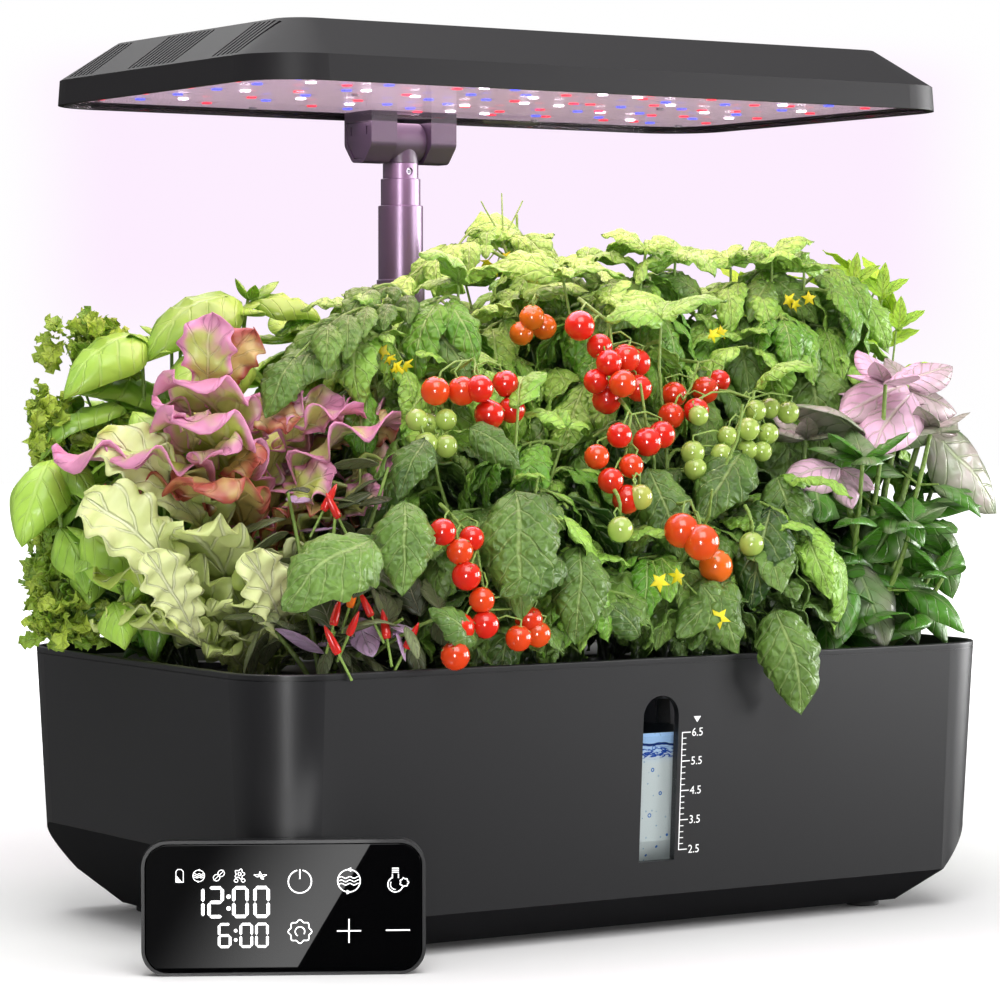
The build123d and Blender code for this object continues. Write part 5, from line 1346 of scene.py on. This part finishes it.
class Marks:
    """Thin marks on a flat face, drawn in millimetres along it and up it."""

    def __init__(self, origin, along, up, thick=0.08):
        self.origin, self.along, self.up = origin, along, up
        self.out = along.cross(up) * thick
        self.points, self.faces = [], []

    def fill(self, corners):
        turn = sum(a[0] * b[1] - a[1] * b[0] for a, b in zip(corners, corners[1:] + corners[:1]))
        flat = [self.origin + self.along * a + self.up * b
                for a, b in (corners if turn > 0 else corners[::-1])]
        base, count = len(self.points), len(flat)
        self.points += [(spot + self.out) * MM for spot in flat] + [spot * MM for spot in flat]
        self.faces.append(tuple(range(base, base + count)))
        self.faces.append(tuple(range(base + count, base + 2 * count))[::-1])
        self.faces += [(base + n, base + count + n, base + count + (n + 1) % count, base + (n + 1) % count)
                       for n in range(count)]

    def stroke(self, path, width, closed=False):
        for (x0, y0), (x1, y1) in zip(path, path[1:] + path[:1] if closed else path[1:]):
            length = max(math.hypot(x1 - x0, y1 - y0), 1e-6)
            dx, dy = (x1 - x0) / length * width / 2, (y1 - y0) / length * width / 2
            x0, y0, x1, y1 = x0 - dx * 0.4, y0 - dy * 0.4, x1 + dx * 0.4, y1 + dy * 0.4
            self.fill([(x0 + dy, y0 - dx), (x1 + dy, y1 - dx), (x1 - dy, y1 + dx), (x0 - dy, y0 + dx)])

    def arc(self, x, y, radius, start, end, width):
        count = max(int(abs(end - start) / 12), 4)
        spots = [math.radians(start + (end - start) * n / count) for n in range(count + 1)]
        self.stroke([(x + radius * math.cos(a), y + radius * math.sin(a)) for a in spots], width)

    def disc(self, x, y, radius):
        self.fill([(x + radius * math.cos(math.pi * n / 6), y + radius * math.sin(math.pi * n / 6))
                   for n in range(12)])

    def star(self, x, y, radius, lobes, depth, width, count=48):
        """A closed wavy ring, as of a cog or a blossom."""
        spots = [2 * math.pi * n / count for n in range(count)]
        self.stroke([(x + radius * (1 + depth * math.cos(lobes * a)) * math.cos(a),
                      y + radius * (1 + depth * math.cos(lobes * a)) * math.sin(a)) for a in spots], width,
                    True)

    def digit(self, sign, x, y, wide, tall, thick):
        """A seven-segment digit, its lower left corner at x, y."""
        m, gap, half = thick / 2, thick * 0.14, tall / 2
        lines = {"a": (m, tall - m, wide - m, tall - m), "g": (m, half, wide - m, half),
                 "d": (m, m, wide - m, m), "f": (m, half, m, tall - m),
                 "b": (wide - m, half, wide - m, tall - m), "e": (m, m, m, half),
                 "c": (wide - m, m, wide - m, half)}
        for name in SEGMENTS[sign]:
            x0, y0, x1, y1 = lines[name]
            if y0 == y1:
                x0, x1 = x + x0 + gap, x + x1 - gap
                self.fill([(x0, y + y0), (x0 + m, y + y0 - m), (x1 - m, y + y0 - m), (x1, y + y0),
                           (x1 - m, y + y0 + m), (x0 + m, y + y0 + m)])
            else:
                y0, y1 = y + y0 + gap, y + y1 - gap
                self.fill([(x + x0, y0), (x + x0 + m, y0 + m), (x + x0 + m, y1 - m), (x + x0, y1),
                           (x + x0 - m, y1 - m), (x + x0 - m, y0 + m)])

    def number(self, text, x, y, size):
        """A plain number in the default face, its lower left corner at x, y."""
        curve = bpy.data.curves.new(text, "FONT")
        curve.body, curve.size, curve.resolution_u = text, size, 3
        holder = bpy.data.objects.new(text, curve)
        scene.collection.objects.link(holder)
        bpy.context.view_layer.update()
        flat = bpy.data.meshes.new_from_object(holder.evaluated_get(bpy.context.evaluated_depsgraph_get()))
        for face in flat.polygons:
            self.fill([(x + flat.vertices[v].co.x, y + flat.vertices[v].co.y) for v in face.vertices])
        bpy.data.objects.remove(holder)

    def make(self, name, body, slot, material):
        mesh = bpy.data.meshes.new(name)
        mesh.from_pydata(self.points, [], self.faces)
        mesh.materials.append(material)
        return piece(name, mesh, body, slot)


def level_scale():
    """White ticks and plain numbers beside the window, following the wall's draft; the ink has a painted
    glow.
    """
    # painted glow: the white ink glows a little, brighter than the light on it
    ink = finish("white_screen_ink_painted_glow", "#f2f2f2", Roughness=0.5, Emission_Strength=0.25,
                 Emission_Color="#ffffff")[0]
    draft = math.tan(math.radians(WALL_DRAFT))
    marks = Marks(P((0, RIM_LOW.y + draft * RIM, 0)), P((1, 0, 0)), P((0, -draft, 1)).normalized(), 0.06)
    left, long, short, number, tall = 15.5, 19.8, 17.6, 20.4, 5.0
    levels = [86.7, 74.4, 61.7, 49.1, 36.3]
    marks.stroke([(left, levels[-1]), (left, levels[0])], 0.45)
    for text, height in zip(("6.5", "5.5", "4.5", "3.5", "2.5"), levels):
        marks.stroke([(left, height), (long, height)], 0.42)
        marks.number(text, number, height - 0.35 * tall, tall)
    for high, low in zip(levels, levels[1:]):
        for m in range(1, 5):
            marks.stroke([(left, high - (high - low) / 5 * m), (short, high - (high - low) / 5 * m)], 0.34)
    marks.fill([(21.2, 93.4), (25.0, 93.4), (23.1, 90.8)])
    marks.make("level_scale", "root", "tank_abs", ink)


def remote_display():
    """The remote's lit clock, timer and touch signs under its glass."""
    lit = glowing("white_display", "#ffffff", 1.0)
    low, high = [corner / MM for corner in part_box("remote_glass")]
    yaw = math.radians(REMOTE_TURN)
    along, out = P((math.cos(yaw), -math.sin(yaw), 0)), P((-math.sin(yaw), -math.cos(yaw), 0))
    middle = P((*REMOTE_FACE, (low.z + high.z) / 2))
    marks = Marks(middle, along, UP, 0.05)
    for sign, x in (("1", -38.0), ("2", -30.3), ("0", -20.5), ("0", -12.1)):
        marks.digit(sign, x, -3.9, 6.6, 12.8, 1.35)
    for sign, x in (("6", -26.2), ("0", -17.6), ("0", -11.4)):
        marks.digit(sign, x, -15.8, 5.4, 10.0, 1.05)
    for x, y, radius in ((-21.9, 4.7, 0.9), (-21.9, 0.0, 0.9), (-19.1, -8.9, 0.72), (-19.1, -12.6, 0.72)):
        marks.disc(x, y, radius)
    # on and off
    marks.arc(6.4, 10.5, 4.6, 105, 435, 0.5)
    marks.stroke([(6.4, 11.6), (6.4, 15.3)], 0.5)
    # settings
    marks.star(6.4, -9.5, 4.3, 8, 0.1, 0.45)
    marks.arc(6.4, -9.5, 1.9, -30, 240, 0.4)
    # water round
    for x, y, radius, width in ((25.9, 10.6, 4.5, 0.42), (-33.7, 13.1, 2.3, 0.28)):
        for start in (100, 280):
            marks.arc(x, y, radius, start, start + 160, width)
        for side in (-1, 1):
            tip = y + side * radius
            marks.fill([(x - 0.22 * radius * side, tip), (x + 0.2 * radius * side, tip + 0.2 * radius),
                        (x + 0.2 * radius * side, tip - 0.2 * radius)])
        for row in (-1, 0, 1):
            marks.stroke([(x + radius * 0.86 * (n / 8 - 1),
                           y + radius * (0.3 * row + 0.08 * math.sin(n * 0.9))) for n in range(17)],
                         width * 0.8)
    # lamp and its timer
    marks.arc(44.4, 9.0, 3.0, 115, 350, 0.42)
    marks.arc(44.4, 9.0, 2.0, 150, 270, 0.3)
    marks.stroke([(43.2, 11.6), (43.2, 13.2)], 0.4)
    marks.stroke([(45.6, 11.6), (45.6, 13.2)], 0.4)
    for y in (13.9, 14.7, 15.5):
        marks.stroke([(43.1, y), (45.7, y)], 0.36)
    marks.star(47.9, 9.8, 1.6, 7, 0.14, 0.34, 36)
    # more and less
    marks.stroke([(21.2, -9.4), (30.6, -9.4)], 0.5)
    marks.stroke([(25.9, -14.1), (25.9, -4.7)], 0.5)
    marks.stroke([(40.7, -9.3), (50.1, -9.3)], 0.5)
    # cell, seed, blossom and leaf signs
    marks.stroke([(-42.7, 10.6), (-42.7, 14.9), (-42.0, 15.7), (-40.6, 15.7), (-39.8, 14.9), (-39.8, 10.6)],
                 0.28, True)
    marks.fill([(-42.4, 10.7), (-40.4, 10.7), (-42.4, 13.2)])
    for x, y in ((-26.6, 12.3), (-24.8, 14.0)):
        spots = [math.pi * n / 7 for n in range(14)]
        marks.stroke([(x + 0.95 * math.cos(a) - 0.9 * math.sin(a), y + 0.95 * math.cos(a) + 0.9 * math.sin(a))
                      for a in spots], 0.28, True)
        marks.stroke([(x - 0.8, y - 0.8), (x + 0.8, y + 0.8)], 0.24)
    marks.star(-17.5, 13.7, 1.7, 5, 0.22, 0.28, 40)
    marks.arc(-17.5, 13.7, 0.6, 0, 360, 0.26)
    for x in (-18.9, -16.1):
        marks.arc(x, 11.1, 0.7, 0, 360, 0.24)
    for angle, reach in ((165, 2.6), (95, 2.0), (15, 2.6), (-40, 1.7)):
        a = math.radians(angle)
        tip = (-9.3 + reach * math.cos(a), 12.6 + reach * math.sin(a))
        side = (0.45 * math.sin(a), -0.45 * math.cos(a))
        half = ((-9.3 + tip[0]) / 2, (12.6 + tip[1]) / 2)
        marks.stroke([(-9.3, 12.6), (half[0] + side[0], half[1] + side[1]), tip,
                      (half[0] - side[0], half[1] - side[1])], 0.26, True)
    marks.make("remote_display", "remote", "black_glass", lit)

    # a lit card that only reflections see: its slanting edge crosses the glass
    card, tree, shader = finish("slanted_light_card", "#000000", Roughness=1.0, Emission_Color="#ffffff")
    place = add(tree, "ShaderNodeTexCoord").outputs["Object"]
    away = add(tree, VECTOR_MATH, (place, tuple(middle * MM)), operation="SUBTRACT")
    across = add(tree, VECTOR_MATH, (away, tuple(along / MM)), operation="DOT_PRODUCT")
    height = add(tree, VECTOR_MATH, (away, (0.0, 0.0, 594.0)), operation="DOT_PRODUCT")
    edge = add(tree, MATH, (height, across), operation="SUBTRACT")
    before = add(tree, MATH, (edge, 21.6), operation="ADD")
    past = add(tree, MATH, (before, 0.0), operation="GREATER_THAN")
    fade = add(tree, RANGE, (before, 0.0, 66.0, 1.9, 0.06), interpolation_type=SMOOTH)
    strength = add(tree, MATH, (past, fade), operation="MULTIPLY")
    link(tree, strength, shader.inputs["Emission Strength"])
    ahead = middle + out * 20.0
    corners = [ahead + along * a + UP * b for a, b in ((-75, -26.8), (75, -26.8), (75, 45), (-75, 45))]
    board = stage_mesh("slanted_light_card", [corner * MM for corner in corners], [(3, 2, 1, 0)], card)
    board.visible_camera = board.visible_diffuse = board.visible_shadow = board.visible_transmission = False


level_scale()
remote_display()


# ---------------------------------------------------------------- light about the LEDs


def solid_middles(mesh):
    """The middle of each separate solid of a mesh, in millimetres."""
    parent = {}

    def root(key):
        while parent.setdefault(key, key) != key:
            key = parent[key]
        return key

    # a key is a place in hundredths of a millimetre, so that corners that lie together share it
    keys = [tuple(round(value * 1e5) for value in vertex.co) for vertex in mesh.vertices]
    for face in mesh.polygons:
        first = root(keys[face.vertices[0]])
        for v in face.vertices[1:]:
            parent[root(keys[v])] = first
    groups = {}
    for key in sorted(set(keys)):
        groups.setdefault(root(key), []).append(P(key) / 100)
    return [sum(group, P((0, 0, 0))) / len(group) for group in groups.values()]


SIDES = 12
HALO = ((2.2, 0.85), (3.4, 0.35), (5.2, 0.0))  # rings about an LED: radius, and how brightly it is lit


def halos(colour, tint, strength):
    """The solder mask about each LED, lit by it and fading outwards."""
    name = f"lit_mask_{colour}"
    made, tree, shader = finish(name, "#d9bfd4", Roughness=0.35, Emission_Strength=1.0)
    level_seen = add(tree, "ShaderNodeAttribute", attribute_name="glow")
    dim = [value * 0.3 for value in rgb("#e9bfe4")]
    bright = [value * strength for value in rgb(tint)]
    shade = add(tree, MIX, {0: level_seen.outputs["Fac"], 6: dim, 7: bright}, data_type="RGBA")
    link(tree, shade, shader.inputs["Emission Color"])
    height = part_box("led_board")[0].z / MM - 0.03
    points, faces, glow = [], [], []
    for spot in solid_middles(nodes[f"led_chips_{colour}"].data):
        base = len(points)
        points.append((spot.x, spot.y, height))
        glow.append(1.0)
        for reach, share in HALO:
            for n in range(SIDES):
                angle = 2 * math.pi * n / SIDES
                points.append((spot.x + reach * math.cos(angle), spot.y + reach * math.sin(angle), height))
                glow.append(share)
        for n in range(SIDES):
            near, next_one = base + 1 + n, base + 1 + (n + 1) % SIDES
            faces.append((base, next_one, near))
            faces += [(near + r, next_one + r, next_one + r + SIDES, near + r + SIDES) for r in (0, SIDES)]
    mesh = bpy.data.meshes.new(name)
    mesh.from_pydata([P(point) * MM for point in points], [], faces)
    mesh.attributes.new("glow", "FLOAT", "POINT").data.foreach_set("value", glow)
    mesh.materials.append(made)
    piece(name, mesh, "lamp", "board_white")


halos("white", "#fff0ff", 1.6)
halos("red", "#ff8fa4", 0.9)
halos("blue", "#a9a4ff", 0.9)

for copy in TO_COPY:
    bpy.data.objects.remove(copy)
